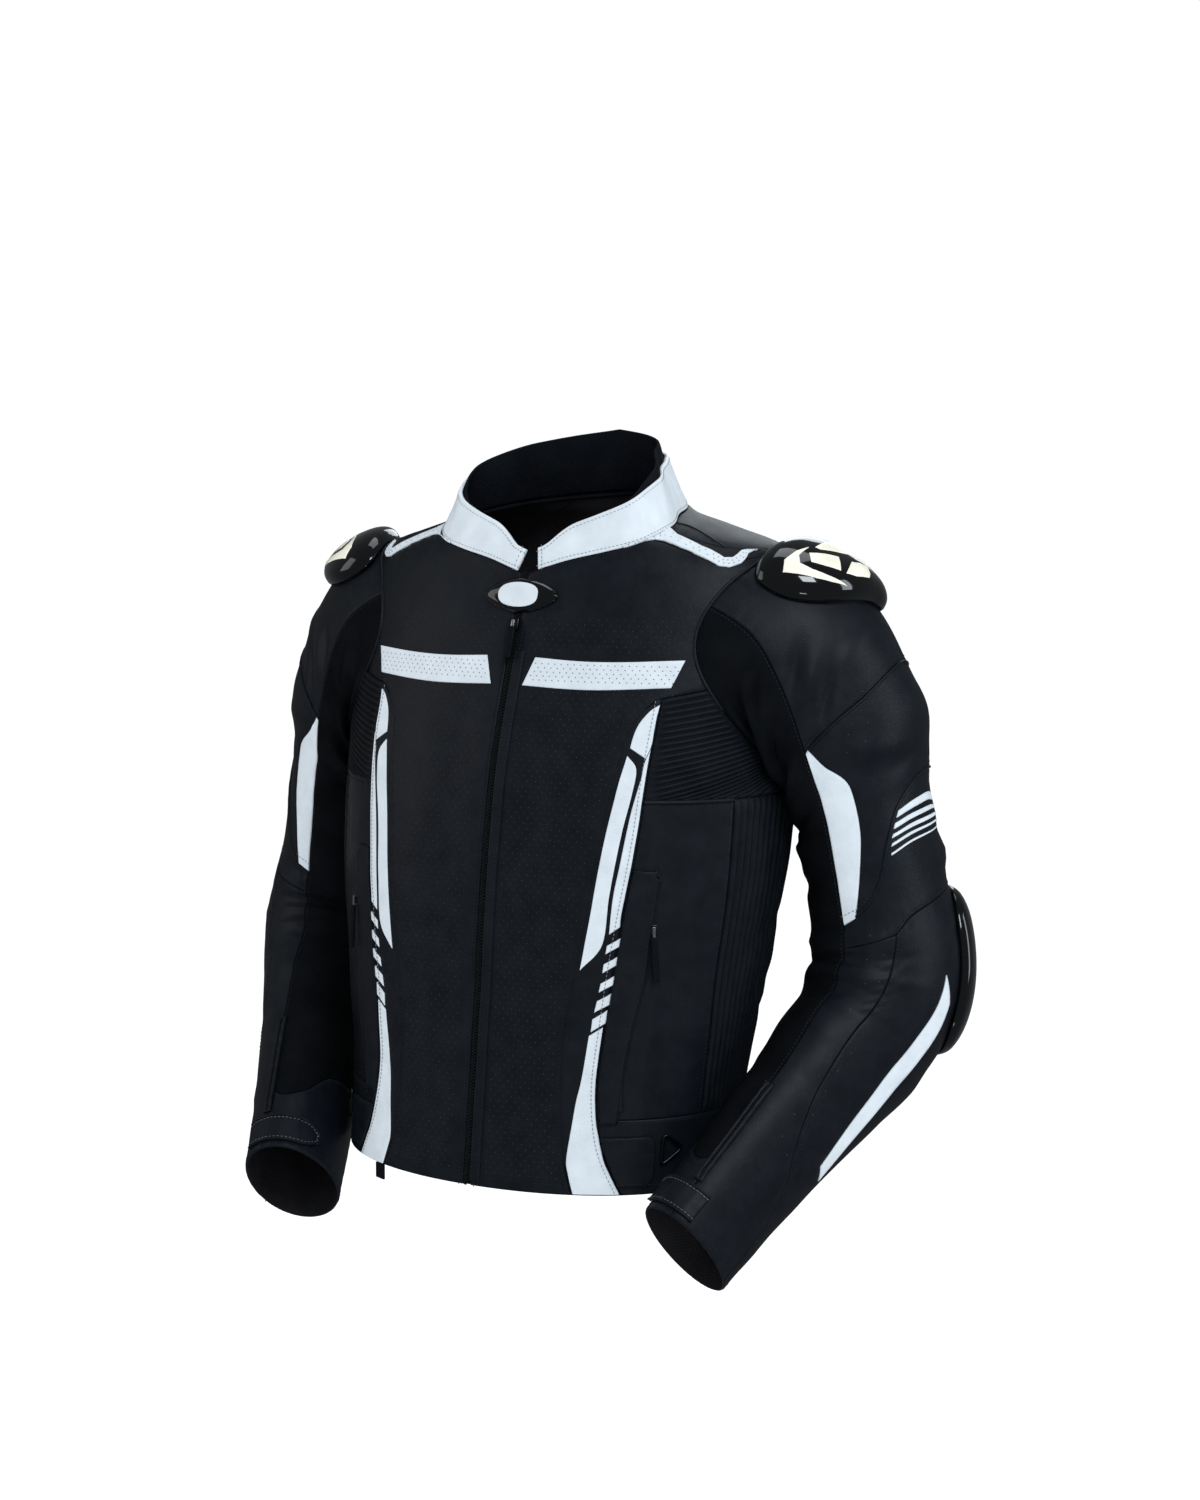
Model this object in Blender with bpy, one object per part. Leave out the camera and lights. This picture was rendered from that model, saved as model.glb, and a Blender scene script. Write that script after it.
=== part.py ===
# Motorcycle jacket: leather panels, knitted accordion pieces, stand collar, hard cups.
# Frame: origin between the shoulders at the foot of the collar, +X wearer's left,
# front towards -Y, +Z up.  Metres.
import bpy
import math
import numpy as np

# ---- cloth thicknesses and seam gap ----
LEATHER = 0.0022
KNIT = 0.0018
GAP = 0.0003
LIFT = 0.0004          # how far a piece lying on a panel stands off it
SHARP = math.radians(45)

# ---- trunk sections: height, half width, depth to front, depth to back, centre, squareness
TRUNK = np.array([
    (-0.560, 0.176, 0.122, 0.108, -0.090, 2.1),
    (-0.480, 0.179, 0.125, 0.106, -0.077, 2.1),
    (-0.400, 0.188, 0.128, 0.106, -0.064, 2.2),
    (-0.300, 0.200, 0.134, 0.112, -0.047, 2.3),
    (-0.200, 0.204, 0.132, 0.118, -0.031, 2.3),
    (-0.120, 0.204, 0.118, 0.114, -0.018, 2.3),
    (-0.060, 0.202, 0.107, 0.104, -0.009, 2.2),
    (-0.030, 0.188, 0.102, 0.097, -0.005, 2.0),
    (-0.012, 0.132, 0.099, 0.090, -0.002, 2.0),
    (0.000, 0.092, 0.094, 0.084, 0.000, 2.0),
    (0.030, 0.084, 0.088, 0.078, 0.000, 2.0)])

# ---- heights that the trunk's pieces share ----
HEM = -0.548
BAND = -0.487          # top of the hem band
RIBS = -0.228          # lower seam of the accordion piece
TIP = -0.147           # top of the pale insert
LOW = np.linspace(HEM, BAND, 3)
MID = np.linspace(BAND, RIBS, 7)
HIGH = np.linspace(RIBS, TIP, 5)

# ---- seams: height, sideways place of the insert's inner and outer edge ----
INSERT = np.array([
    (-0.548, 0.0905, 0.1270), (-0.520, 0.0830, 0.1145), (-0.505, 0.0850, 0.1100),
    (-0.464, 0.0920, 0.1055), (-0.413, 0.0940, 0.1095), (-0.363, 0.0925, 0.1150),
    (-0.330, 0.0970, 0.1195), (-0.265, 0.1040, 0.1280), (-0.200, 0.1110, 0.1320),
    (-0.164, 0.1190, 0.1340), (-0.147, 0.1310, 0.1345)])
# height, turn of the stretch strip's front edge in degrees
STRIP = np.array([(-0.548, 74.0), (-0.487, 72.5), (-0.384, 69.0), (-0.300, 67.5), (-0.228, 66.0)])
STRIP_BACK = 108.0
# turn round the neck in degrees, height of the neckline
NECK = np.array([
    (0.0, -0.050), (10.0, -0.039), (20.0, -0.032), (30.0, -0.026), (43.0, -0.018),
    (60.0, -0.010), (75.0, -0.004), (90.0, 0.000), (135.0, 0.007), (180.0, 0.012)])
# the pale shoulder trim in plan: lower edge x, y and upper edge x, y
TRIM_LOW = [(0.112, -0.079), (0.136, -0.076), (0.162, -0.066)]
TRIM_HIGH = [(0.114, -0.064), (0.137, -0.061), (0.161, -0.052)]

# ---- armhole: an upright oval pushed sideways onto the trunk ----
ARM_Y, ARM_Z = -0.015, -0.117
ARM_FRONT, ARM_BACK, ARM_UP, ARM_LEAN = 0.087, 0.062, 0.088, 0.10

# ---- sleeve: straight upper arm, rounded elbow, straight forearm ----
TOP = np.array([0.244, 0.013, -0.220])
ELBOW = np.array([0.286, 0.021, -0.398])
WRIST = np.array([0.191, -0.187, -0.578])
CUT = 0.075            # how far before and after the elbow the bend runs
START = 0.16           # length along the sleeve at TOP
HEAD = 0.205           # length along the sleeve where it is a full tube
UPPER = float(np.linalg.norm(ELBOW - TOP))
FORE = float(np.linalg.norm(WRIST - ELBOW))
DOWN = (ELBOW - TOP) / UPPER
AHEAD = (WRIST - ELBOW) / FORE
BEND = START + UPPER
CUFF = 0.636
# length along, half widths outward, inward, to the crook and to the elbow side
WIDTH = np.array([
    (0.160, 0.067, 0.047, 0.074, 0.074), (0.205, 0.060, 0.051, 0.072, 0.072),
    (0.252, 0.057, 0.056, 0.071, 0.070), (0.344, 0.064, 0.062, 0.069, 0.074),
    (0.415, 0.056, 0.056, 0.066, 0.070), (0.486, 0.047, 0.048, 0.062, 0.063),
    (0.560, 0.041, 0.041, 0.057, 0.057), (0.640, 0.038, 0.038, 0.054, 0.054)])
# turn, direction in which the sleeve leaves the armhole, strength there and at the tube
LEAVE = np.array([
    (0, 0.97, 0.05, -0.18, 1.24, 1.10), (45, 0.94, 0.00, -0.30, 1.14, 1.05),
    (90, 0.88, 0.08, -0.40, 1.00, 1.00), (135, 0.75, 0.20, -0.60, 0.90, 0.90),
    (180, 0.58, 0.35, -0.74, 0.80, 0.80), (225, 0.75, 0.15, -0.60, 0.90, 0.90),
    (270, 0.90, 0.10, -0.35, 1.00, 1.00), (315, 0.96, 0.08, -0.22, 1.14, 1.05),
    (360, 0.97, 0.05, -0.18, 1.24, 1.10)])
# length along, turn of the front edge of the inner stretch piece
EDGE = np.array([
    (0.00, 60.0), (0.04, 62.0), (0.08, 70.0), (0.12, 79.0), (0.15, 84.0), (0.20, 88.0),
    (0.25, 92.0), (0.30, 97.0), (0.35, 99.0), (0.40, 95.0), (0.45, 89.0), (0.50, 85.0),
    (0.58, 82.0), (0.64, 80.0)])
REAR = -130.0          # turn of the seam behind the arm

# ---- soft folds: where, how wide, how deep (out of the cloth is positive) ----
# turn, height, half turn, half height, depth, slant (height per degree)
TRUNK_FOLDS = [
    (24, -0.300, 15, 0.110, 0.0030, 0.0), (52, -0.330, 8, 0.090, -0.0025, 0.0),
    (150, -0.230, 14, 0.090, -0.0050, 0.0), (122, -0.395, 20, 0.013, -0.0040, 0.0004),
    (128, -0.365, 22, 0.014, 0.0035, 0.0004), (140, -0.435, 24, 0.014, 0.0035, -0.0003),
    (180, -0.350, 22, 0.030, -0.0040, 0.0), (180, -0.120, 18, 0.060, 0.0040, 0.0),
    (128, -0.105, 9, 0.045, -0.0040, 0.0)]
# length, turn, half length, half turn, depth, slant (length per degree)
SLEEVE_FOLDS = [
    (0.138, -8, 0.020, 55, 0.0070, 0.00005), (0.188, -8, 0.016, 55, -0.0030, 0.0),
    (0.045, 118, 0.012, 24, -0.0080, 0.0002), (0.078, 126, 0.014, 28, 0.0060, 0.0002),
    (0.112, 124, 0.013, 30, -0.0060, 0.0002), (0.150, 150, 0.014, 40, 0.0045, 0.0002),
    (0.296, 122, 0.014, 38, 0.0050, 0.0), (0.331, 118, 0.013, 42, -0.0065, 0.0),
    (0.362, 112, 0.013, 42, 0.0060, 0.0), (0.394, 108, 0.015, 42, -0.0050, 0.0),
    (0.430, 104, 0.018, 44, 0.0035, 0.0), (0.252, -70, 0.014, 45, -0.0035, 0.0003),
    (0.228, -60, 0.012, 45, 0.0030, 0.0003), (0.455, 200, 0.016, 45, 0.0035, 0.0002)]

BLACK = (0.012, 0.013, 0.015)
DEEP = (0.008, 0.009, 0.011)
WHITE = (0.75, 0.76, 0.78)
GLOSS = (0.006, 0.006, 0.008)
METAL = (0.45, 0.46, 0.48)


# ---------------------------------------------------------------- reading tables
def table(rows, at):
    """Smooth curve through a table's rows: first column is the place, the rest values."""
    key, val = rows[:, 0], rows[:, 1:]
    at = np.asarray(at, float)
    step = np.diff(key)
    rise = np.diff(val, axis=0) / step[:, None]
    slope = np.empty_like(val)
    slope[1:-1] = (rise[:-1] + rise[1:]) / 2
    slope[0] = rise[0]
    slope[-1] = rise[-1]
    held = np.clip(at, key[0], key[-1])
    i = np.clip(np.searchsorted(key, held) - 1, 0, len(step) - 1)
    t = ((held - key[i]) / step[i])[..., None]
    w = step[i][..., None]
    out = (2*t**3 - 3*t**2 + 1)*val[i] + (t**3 - 2*t**2 + t)*w*slope[i]
    out = out + (3*t**2 - 2*t**3)*val[i + 1] + (t**3 - t**2)*w*slope[i + 1]
    out = out + np.minimum(at - key[0], 0)[..., None]*slope[0]
    return out + np.maximum(at - key[-1], 0)[..., None]*slope[-1]


def unit(v):
    return v / np.maximum(np.linalg.norm(v, axis=-1, keepdims=True), 1e-12)


# ---------------------------------------------------------------- trunk form
def trunk_point(turn, z):
    s = table(TRUNK, z)
    t = np.radians(turn)
    c, q = np.cos(t), np.sin(t)
    n = s[..., 4]
    b = np.where(c > 0, s[..., 1], s[..., 2])
    x = s[..., 0]*np.sign(q)*np.abs(q)**(2/n)
    y = s[..., 3] - b*np.sign(c)*np.abs(c)**(2/n)
    return np.stack([x, y, np.asarray(z) + 0*x], -1)


def trunk_value(p):
    s = table(TRUNK, p[..., 2])
    y = p[..., 1] - s[..., 3]
    b = np.where(y < 0, s[..., 1], s[..., 2])
    return np.abs(p[..., 0]/s[..., 0])**s[..., 4] + np.abs(y/b)**s[..., 4] - 1


def trunk_normal(p):
    e = 1e-5
    g = [trunk_value(p + e*a) - trunk_value(p - e*a) for a in np.eye(3)]
    return unit(np.stack(g, -1))


def trunk_turn(p):
    s = table(TRUNK, p[..., 2])
    y = p[..., 1] - s[..., 3]
    b = np.where(y < 0, s[..., 1], s[..., 2])
    q = np.abs(p[..., 0]/s[..., 0])**(s[..., 4]/2)
    c = -np.sign(y)*np.abs(y/b)**(s[..., 4]/2)
    return np.degrees(np.arctan2(q*np.sign(p[..., 0] + 1e-12), c))


SPREAD_Z = np.array([-0.60, -0.060, -0.030, -0.012, 0.000, 0.030])
SPREAD_V = np.array([-0.60, -0.060, -0.027, 0.032, 0.074, 0.105])


def spread(z):
    """Height to length up the form, so that the shoulder's flat top is not skipped."""
    return np.interp(z, SPREAD_Z, SPREAD_V)


def unspread(v):
    return np.interp(v, SPREAD_V, SPREAD_Z)


def turn_at(x, z):
    """Turn of the front surface's point at the sideways place x."""
    s = table(TRUNK, z)
    return np.degrees(np.arcsin(np.clip(x/s[..., 0], 0, 1)**(s[..., 4]/2)))


def on_top(x, y):
    """The turn and length of the shoulder point above a place in plan."""
    lo, hi = -0.12, 0.03
    for _ in range(40):
        z = (lo + hi)/2
        if trunk_value(np.array([x, y, z])) > 0:
            hi = z
        else:
            lo = z
    p = np.array([x, y, lo])
    return float(trunk_turn(p)), float(spread(lo))


def trunk_fold(turn, z, p):
    d = 0*z
    a = np.abs((turn + 180) % 360 - 180)
    for t0, z0, ht, hz, depth, slant in TRUNK_FOLDS:
        d = d + depth*np.exp(-((a - t0)/ht)**2 - ((z - z0 - slant*(a - t0))/hz)**2)
    # fade out beside the armhole, at the hem and at the neck
    q = np.hypot((p[..., 1] - ARM_Y)/(ARM_FRONT*0.93), (p[..., 2] - ARM_Z)/ARM_UP)
    d = d*np.clip((q - 1.02)/0.35, 0, 1)
    return d*np.clip((z - HEM)/0.03, 0, 1)*np.clip((-0.03 - z)/0.03, 0, 1)


# ---------------------------------------------------------------- armhole and sleeve form
def armhole(turn):
    t = np.radians(turn)
    z = ARM_Z + ARM_UP*np.cos(t)
    deep = np.where(np.sin(t) > 0, ARM_FRONT, ARM_BACK)
    y = ARM_Y - deep*np.sin(t) + ARM_LEAN*(z - ARM_Z)
    s = table(TRUNK, z)
    yy = y - s[..., 3]
    b = np.where(yy < 0, s[..., 1], s[..., 2])
    k = np.clip(1 - np.abs(yy/b)**s[..., 4], 1e-6, 1)
    return np.stack([s[..., 0]*k**(1/s[..., 4]), y, z], -1)


def path(s):
    t = np.clip((s - BEND + CUT)/(2*CUT), 0, 1)[..., None]
    a, b = ELBOW - CUT*DOWN, ELBOW + CUT*AHEAD
    p = (1 - t)**2*a + 2*t*(1 - t)*ELBOW + t**2*b
    p = p + np.minimum(s - BEND + CUT, 0)[..., None]*DOWN
    p = p + np.maximum(s - BEND - CUT, 0)[..., None]*AHEAD
    return p, unit((1 - t)*DOWN + t*AHEAD)


def tube(s, turn):
    c, t = path(s)
    v = table(WIDTH, s)
    r = np.radians(turn)
    out = unit(np.array([1.0, 0, 0]) - t[..., :1]*t)
    front = np.cross(t, out)
    wo = np.where(np.cos(r) > 0, v[..., 0], v[..., 1])*np.cos(r)
    wf = np.where(np.sin(r) > 0, v[..., 2], v[..., 3])*np.sin(r)
    return c + wo[..., None]*out + wf[..., None]*front


def bare_sleeve(s, turn):
    s, turn = np.broadcast_arrays(np.asarray(s, float), np.asarray(turn, float))
    a = armhole(turn)
    h = np.full(s.shape, HEAD)
    e = tube(h, turn)
    de = unit(tube(h + 0.004, turn) - tube(h - 0.004, turn))
    v = table(LEAVE, turn % 360)
    d0 = unit(v[..., :3])
    far = np.linalg.norm(e - a, axis=-1, keepdims=True)
    t = np.clip(s/HEAD, 0, 1)[..., None]
    p = (2*t**3 - 3*t**2 + 1)*a + (t**3 - 2*t**2 + t)*far*v[..., 3:4]*d0
    p = p + (3*t**2 - 2*t**3)*e + (t**3 - t**2)*far*v[..., 4:5]*de
    return np.where((s < HEAD)[..., None], p, tube(np.maximum(s, HEAD), turn))


def sleeve_normal(s, turn):
    s, turn = np.broadcast_arrays(np.asarray(s, float), np.asarray(turn, float))
    lo, hi = np.maximum(s - 0.002, 0.0005), s + 0.002
    ds = bare_sleeve(hi, turn) - bare_sleeve(lo, turn)
    dt = bare_sleeve(np.maximum(s, 0.0005), turn + 1) - bare_sleeve(np.maximum(s, 0.0005), turn - 1)
    return unit(np.cross(dt, ds))


def sleeve_fold(s, turn):
    d = 0*s
    for s0, t0, hs, ht, depth, slant in SLEEVE_FOLDS:
        a = (turn - t0 + 180) % 360 - 180
        d = d + depth*np.exp(-(a/ht)**2 - ((s - s0 - slant*a)/hs)**2)
    return d*np.clip(s/0.03, 0, 1)


def sleeve_point(s, turn):
    n = sleeve_normal(s, turn)
    return bare_sleeve(s, turn) + n*sleeve_fold(s, turn)[..., None], n


def mitre(turn):
    """Normal shared by trunk and sleeve along the armhole, and how much thicker to cut."""
    a = trunk_normal(armhole(turn))
    m = unit(a + sleeve_normal(0.0005, turn))
    return m, 1/np.clip((a*m).sum(-1), 0.6, 1)


# ---------------------------------------------------------------- solids
def material(colour, rough, metal=0.0):
    name = "finish_%02x%02x%02x_%02d" % (*[int(255*c) for c in colour], int(100*rough))
    mat = bpy.data.materials.get(name) or bpy.data.materials.new(name)
    mat.use_nodes = True
    node = mat.node_tree.nodes["Principled BSDF"]
    node.inputs["Base Color"].default_value = (*colour, 1)
    node.inputs["Roughness"].default_value = rough
    node.inputs["Metallic"].default_value = metal
    mat.diffuse_color = (*colour, 1)
    return mat


def add(name, verts, faces, finish, both, origin=(0, 0, 0)):
    """Put the mesh in the scene; with both also its mirror image on the right side.
    A moving piece has its origin on its pin."""
    sides = [("_left", 1), ("_right", -1)] if both else [("", 1)]
    for word, side in sides:
        flip = np.array([side, 1, 1])
        v = (np.asarray(verts) - origin)*flip
        f = faces if side == 1 else [q[::-1] for q in faces]
        mesh = bpy.data.meshes.new(name + word)
        mesh.from_pydata([tuple(p) for p in v], [], f)
        mesh.materials.append(material(*finish))
        mesh.validate()
        mesh.shade_smooth()
        mesh.set_sharp_from_angle(angle=SHARP)
        obj = bpy.data.objects.new(name + word, mesh)
        obj.location = tuple(np.asarray(origin)*flip)
        bpy.context.scene.collection.objects.link(obj)


def tucked(p, n, by):
    """Move the four edges of a grid of points inwards over the surface."""
    q = p.copy()

    def move(edge, nxt, normal):
        along = np.gradient(edge, axis=0) if len(edge) > 2 else edge[-1:] - edge[:1] + 0*edge
        side = unit(np.cross(normal, along))
        side = side*np.sign((side*(nxt - edge)).sum(-1, keepdims=True))
        return side*by
    q[0] += move(p[0], p[1], n[0])
    q[-1] += move(p[-1], p[-2], n[-1])
    q[:, 0] += move(p[:, 0], p[:, 1], n[:, 0])
    q[:, -1] += move(p[:, -1], p[:, -2], n[:, -1])
    return q


def sheet(name, p, n, wall, finish, both=True, rise=None, tuck=GAP/2):
    """A wall from a grid of outer points and their normals, rims closed."""
    if tuck:
        p = tucked(p, n, tuck)
    wall = np.broadcast_to(np.asarray(wall, float), p.shape[:2])[..., None]
    inner = p - n*wall
    outer = p if rise is None else p + n*rise[..., None]
    r, c = p.shape[:2]
    verts = np.concatenate([outer.reshape(-1, 3), inner.reshape(-1, 3)])
    o = np.arange(r*c).reshape(r, c)
    i = o + r*c
    f = []
    for a in range(r - 1):
        for b in range(c - 1):
            f.append((o[a, b], o[a, b+1], o[a+1, b+1], o[a+1, b]))
            f.append((i[a, b], i[a+1, b], i[a+1, b+1], i[a, b+1]))
    key = verts @ np.array([1.0, 1.7, 2.3])

    def rim(a, b):
        """Rim between outer points a and b, cut the same way as the neighbour's rim."""
        if key[a] > key[b]:
            f.append((a, i_of[a], i_of[b]))
            f.append((a, i_of[b], b))
        else:
            f.append((a, i_of[a], b))
            f.append((b, i_of[a], i_of[b]))
    i_of = {int(a): int(b) for a, b in zip(o.ravel(), i.ravel())}
    for b in range(c - 1):
        rim(o[0, b], o[0, b+1])
        rim(o[-1, b+1], o[-1, b])
    for a in range(r - 1):
        rim(o[a, -1], o[a+1, -1])
        rim(o[a+1, 0], o[a, 0])
    mid = np.cross(p[:-1, 1:] - p[:-1, :-1], p[1:, :-1] - p[:-1, :-1])
    if (mid*n[:-1, :-1]).sum() < 0:
        f = [q[::-1] for q in f]
    f = [tuple(int(k) for k in q) for q in f]
    add(name, verts, f, finish, both)


def coons(low, high, left, right, ease=0):
    """Fill between four rows of places; low and high run left to right, the others upwards.
    Easing evens out the places inside where an outline bends inwards."""
    low, high, left, right = (np.asarray(e, float) for e in (low, high, left, right))
    u = np.linspace(0, 1, len(low))[None, :, None]
    v = np.linspace(0, 1, len(left))[:, None, None]
    g = (1 - v)*low[None] + v*high[None] + (1 - u)*left[:, None] + u*right[:, None]
    g = g - (1 - u)*(1 - v)*low[0] - u*(1 - v)*low[-1] - (1 - u)*v*high[0] - u*v*high[-1]
    for _ in range(ease):
        g[1:-1, 1:-1] = (g[:-2, 1:-1] + g[2:, 1:-1] + g[1:-1, :-2] + g[1:-1, 2:])/4
    return g


def straighten(p, n, edge, every):
    """Along one edge keep every so-many-th point and lay the others on the chords."""
    pick = {"low": (0, slice(None)), "high": (-1, slice(None)),
            "left": (slice(None), 0), "right": (slice(None), -1)}[edge]
    for arr in (p, n):
        row = arr[pick].copy()
        k = np.arange(len(row))
        keep = [j for j in range(len(row)) if every(j)]
        for axis in range(3):
            row[:, axis] = np.interp(k, keep, row[keep, axis])
        arr[pick] = row


def trunk_patch(low, high, left, right, ease=0):
    g = coons(low, high, left, right, ease)
    z = unspread(g[..., 1])
    p = trunk_point(g[..., 0], z)
    n = trunk_normal(p)
    return p + n*trunk_fold(g[..., 0], z, p)[..., None], n


def sleeve_patch(low, high, left, right, ease=0):
    g = coons(low, high, left, right, ease)
    return sleeve_point(g[..., 0], g[..., 1])


def ring_place(turn):
    """The armhole's point as a place on the trunk: turn and length."""
    p = armhole(np.asarray(turn, float))
    return np.stack([trunk_turn(p), spread(p[..., 2])], -1)


def line(a, b, n):
    return np.linspace(np.asarray(a, float), np.asarray(b, float), n + 1)


def chain(*parts):
    """Join rows of places, dropping the doubled joints."""
    out = [np.asarray(parts[0], float)]
    for q in parts[1:]:
        out.append(np.asarray(q, float)[1:])
    return np.concatenate(out)


def through(points, n, steps=None):
    """n steps spread by length over a row of places, evenly or at the given fractions."""
    points = np.asarray(points, float)
    d = np.concatenate([[0], np.cumsum(np.linalg.norm(np.diff(points, axis=0)*[1, 0.00115], axis=1))])
    at = np.linspace(0, d[-1], n + 1) if steps is None else d[-1]*steps
    return np.stack([np.interp(at, d, points[:, k]) for k in range(2)], -1)


# ---------------------------------------------------------------- shared seams of the trunk
RING_FRONT = [105, 90, 75, 60, 50, 40, 30, 19]           # front piece's armhole turns
RING_UNDER = np.linspace(105, 200, 7)                    # accordion piece
RING_BACK = [200, 215, 230, 245, 260, 275, 290, 305, 320]
RING_YOKE = np.linspace(15, -40, 7)
NECK_FRONT, NECK_LOW, NECK_HIGH, NECK_BACK = 4.0, 38.0, 50.0, 140.0


def edge_x(col, heights):
    x = table(INSERT, heights)[..., col]
    return np.stack([turn_at(x, heights), spread(heights)], -1)


def strip_edge(heights):
    return np.stack([table(STRIP, heights)[..., 0], spread(heights)], -1)


def upright(turn, heights):
    return np.stack([turn + 0*heights, spread(heights)], -1)


def neck_place(turn):
    turn = np.asarray(turn, float)
    return np.stack([turn, spread(table(NECK, turn)[..., 0])], -1)


def trim_edge(points, neck_turn, ring_turn):
    mid = [on_top(x, y) for x, y in points]
    return np.array([neck_place(neck_turn), *mid, ring_place(ring_turn)])


def bottom_seam(z):
    """Places along a level seam: side piece's three steps, then the strip's four."""
    a = edge_x(1, np.array([z]))[0]
    b = strip_edge(np.array([z]))[0]
    c = np.array([STRIP_BACK, spread(z)])
    return line(a, b, 3), line(b, c, 4)


def cut_mitre(n, wall, side, rows, turns):
    m, more = mitre(np.asarray(turns, float))
    n[rows, side] = m
    wall[rows, side] = wall[rows, side]*more


def front_pieces():
    finish = (BLACK, 0.55)
    heights = np.concatenate([LOW, MID[1:], HIGH[1:]])
    tip = edge_x(1, np.array([TIP]))[0]
    right = chain(edge_x(0, heights), [edge_x(0, np.array([TIP]))[0], tip],
                  [tip, ring_place(105)], ring_place(RING_FRONT))
    upper = np.linspace(TIP, float(table(NECK, 2.0)[0]), len(right) - len(heights) + 1)
    mid = np.concatenate([heights, upper[1:]])
    shift = 0.020*np.clip((mid - HEM)/(TIP - HEM), 0, 1)**3*np.clip((-0.05 - mid)/0.097, 0, 1)
    mid = mid + shift
    left = np.stack([turn_at(0.0036 + 0*mid, mid), spread(mid)], -1)
    left[-1] = neck_place(NECK_FRONT)
    high = chain(neck_place(np.linspace(NECK_FRONT, NECK_LOW, 4)), trim_edge(TRIM_LOW, NECK_LOW, 19))
    low = line(left[0], right[0], len(high) - 1)
    p, n = trunk_patch(low, high, left, right, 12)
    wall = np.full(p.shape[:2], LEATHER)
    first = len(heights) + 1
    cut_mitre(n, wall, -1, slice(first, None), RING_FRONT)
    sheet("front", p, n, wall, finish)

    right = edge_x(1, heights)
    left = edge_x(0, heights)
    p, n = trunk_patch(line(left[0], right[0], 2), line(left[-1], right[-1], 2), left, right)
    sheet("side_insert", p, n, LEATHER, (WHITE, 0.5))


def side_pieces():
    # the accordion piece: rulings from the insert's edge and the level seam to the armhole
    a = np.concatenate([edge_x(1, np.linspace(TIP, RIBS, 17))])
    s1, s2 = bottom_seam(RIBS)
    steps = chain(s1, s2)
    b = np.stack([np.interp(np.arange(15)/2, np.arange(8), steps[:, k]) for k in range(2)], -1)
    rail = chain(a, b)
    ring = np.interp(np.arange(31)/5, np.arange(7), RING_UNDER)
    far = ring_place(ring)
    p, n = trunk_patch(line(rail[0], far[0], 5), line(rail[-1], far[-1], 5), rail, far)
    wall = np.full(p.shape[:2], KNIT)
    cut_mitre(n, wall, -1, slice(None), ring)
    straighten(p, n, "left", lambda j: j % 4 == 0 if j <= 16 else j % 2 == 0)
    straighten(p, n, "right", lambda j: j % 5 == 0)
    straighten(p, n, "low", lambda j: j % 5 == 0)
    straighten(p, n, "high", lambda j: j % 5 == 0)
    rise = np.zeros(p.shape[:2])
    rise[1::2, 1:-1] = 0.0024
    sheet("side_accordion", p, n, wall, (DEEP, 0.7), rise=rise)

    left, right = edge_x(1, MID), strip_edge(MID)
    p, n = trunk_patch(bottom_seam(BAND)[0], bottom_seam(RIBS)[0], left, right)
    sheet("side_panel", p, n, LEATHER, (BLACK, 0.5))

    left, right = strip_edge(MID), upright(STRIP_BACK, MID)
    g = [np.stack([np.interp(np.arange(21)/5, np.arange(5), bottom_seam(z)[1][:, k])
                   for k in range(2)], -1) for z in (BAND, RIBS)]
    p, n = trunk_patch(g[0], g[1], left, right)
    straighten(p, n, "low", lambda j: j % 5 == 0)
    straighten(p, n, "high", lambda j: j % 5 == 0)
    rise = np.zeros(p.shape[:2])
    rise[1:-1, 1::2] = 0.0016
    sheet("side_strip", p, n, KNIT, (DEEP, 0.7), rise=rise)

    low, high = chain(*bottom_seam(HEM)), chain(*bottom_seam(BAND))
    p, n = trunk_patch(low, high, edge_x(1, LOW), upright(STRIP_BACK, LOW))
    sheet("hem_band", p, n, LEATHER, (BLACK, 0.6))


def back_pieces():
    heights = np.concatenate([LOW, MID[1:]])
    left = chain(upright(STRIP_BACK, heights), [(STRIP_BACK, spread(RIBS)), ring_place(200)],
                 ring_place(RING_BACK))
    right = left*[-1, 1] + [360, 0]
    corner = neck_place(NECK_BACK)
    seam = line(ring_place(320), corner, 4)
    high = chain(seam, neck_place(np.linspace(NECK_BACK, 180, 4)))
    other = high[::-1]*[-1, 1] + [360, 0]
    high = chain(high, other)
    low = line(left[0], right[0], len(high) - 1)
    g = coons(low, high, left, right, 20)
    z = unspread(g[..., 1])
    turn = g[..., 0]
    # the neck table reads turns up to 180 only; the rest is its mirror image
    p = trunk_point(turn, z)
    n = trunk_normal(p)
    p = p + n*trunk_fold(turn, z, p)[..., None]
    wall = np.full(p.shape[:2], LEATHER)
    first = len(heights)
    m, more = mitre(np.asarray(RING_BACK, float))
    n[first:, 0] = m
    n[first:, -1] = m*[-1, 1, 1]
    wall[first:, 0] *= more
    wall[first:, -1] *= more
    sheet("back", p, n, wall, (BLACK, 0.5), both=False)

    low = line(neck_place(NECK_BACK), ring_place(320), 4)
    high = trim_edge(TRIM_HIGH, NECK_HIGH, 15)
    left = neck_place(np.linspace(NECK_BACK, NECK_HIGH, 7))
    right = ring_place(RING_YOKE[::-1])
    p, n = trunk_patch(low, high, left, right)
    wall = np.full(p.shape[:2], LEATHER)
    cut_mitre(n, wall, -1, slice(None), RING_YOKE[::-1])
    sheet("shoulder_yoke", p, n, wall, (BLACK, 0.45))

    low = trim_edge(TRIM_LOW, NECK_LOW, 19)
    left = np.array([low[0], high[0]])
    right = np.array([low[-1], high[-1]])
    p, n = trunk_patch(low, high, left, right)
    wall = np.full(p.shape[:2], LEATHER)
    cut_mitre(n, wall, -1, slice(None), [19, 15])
    sheet("shoulder_trim", p, n, wall, (WHITE, 0.5))


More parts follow.
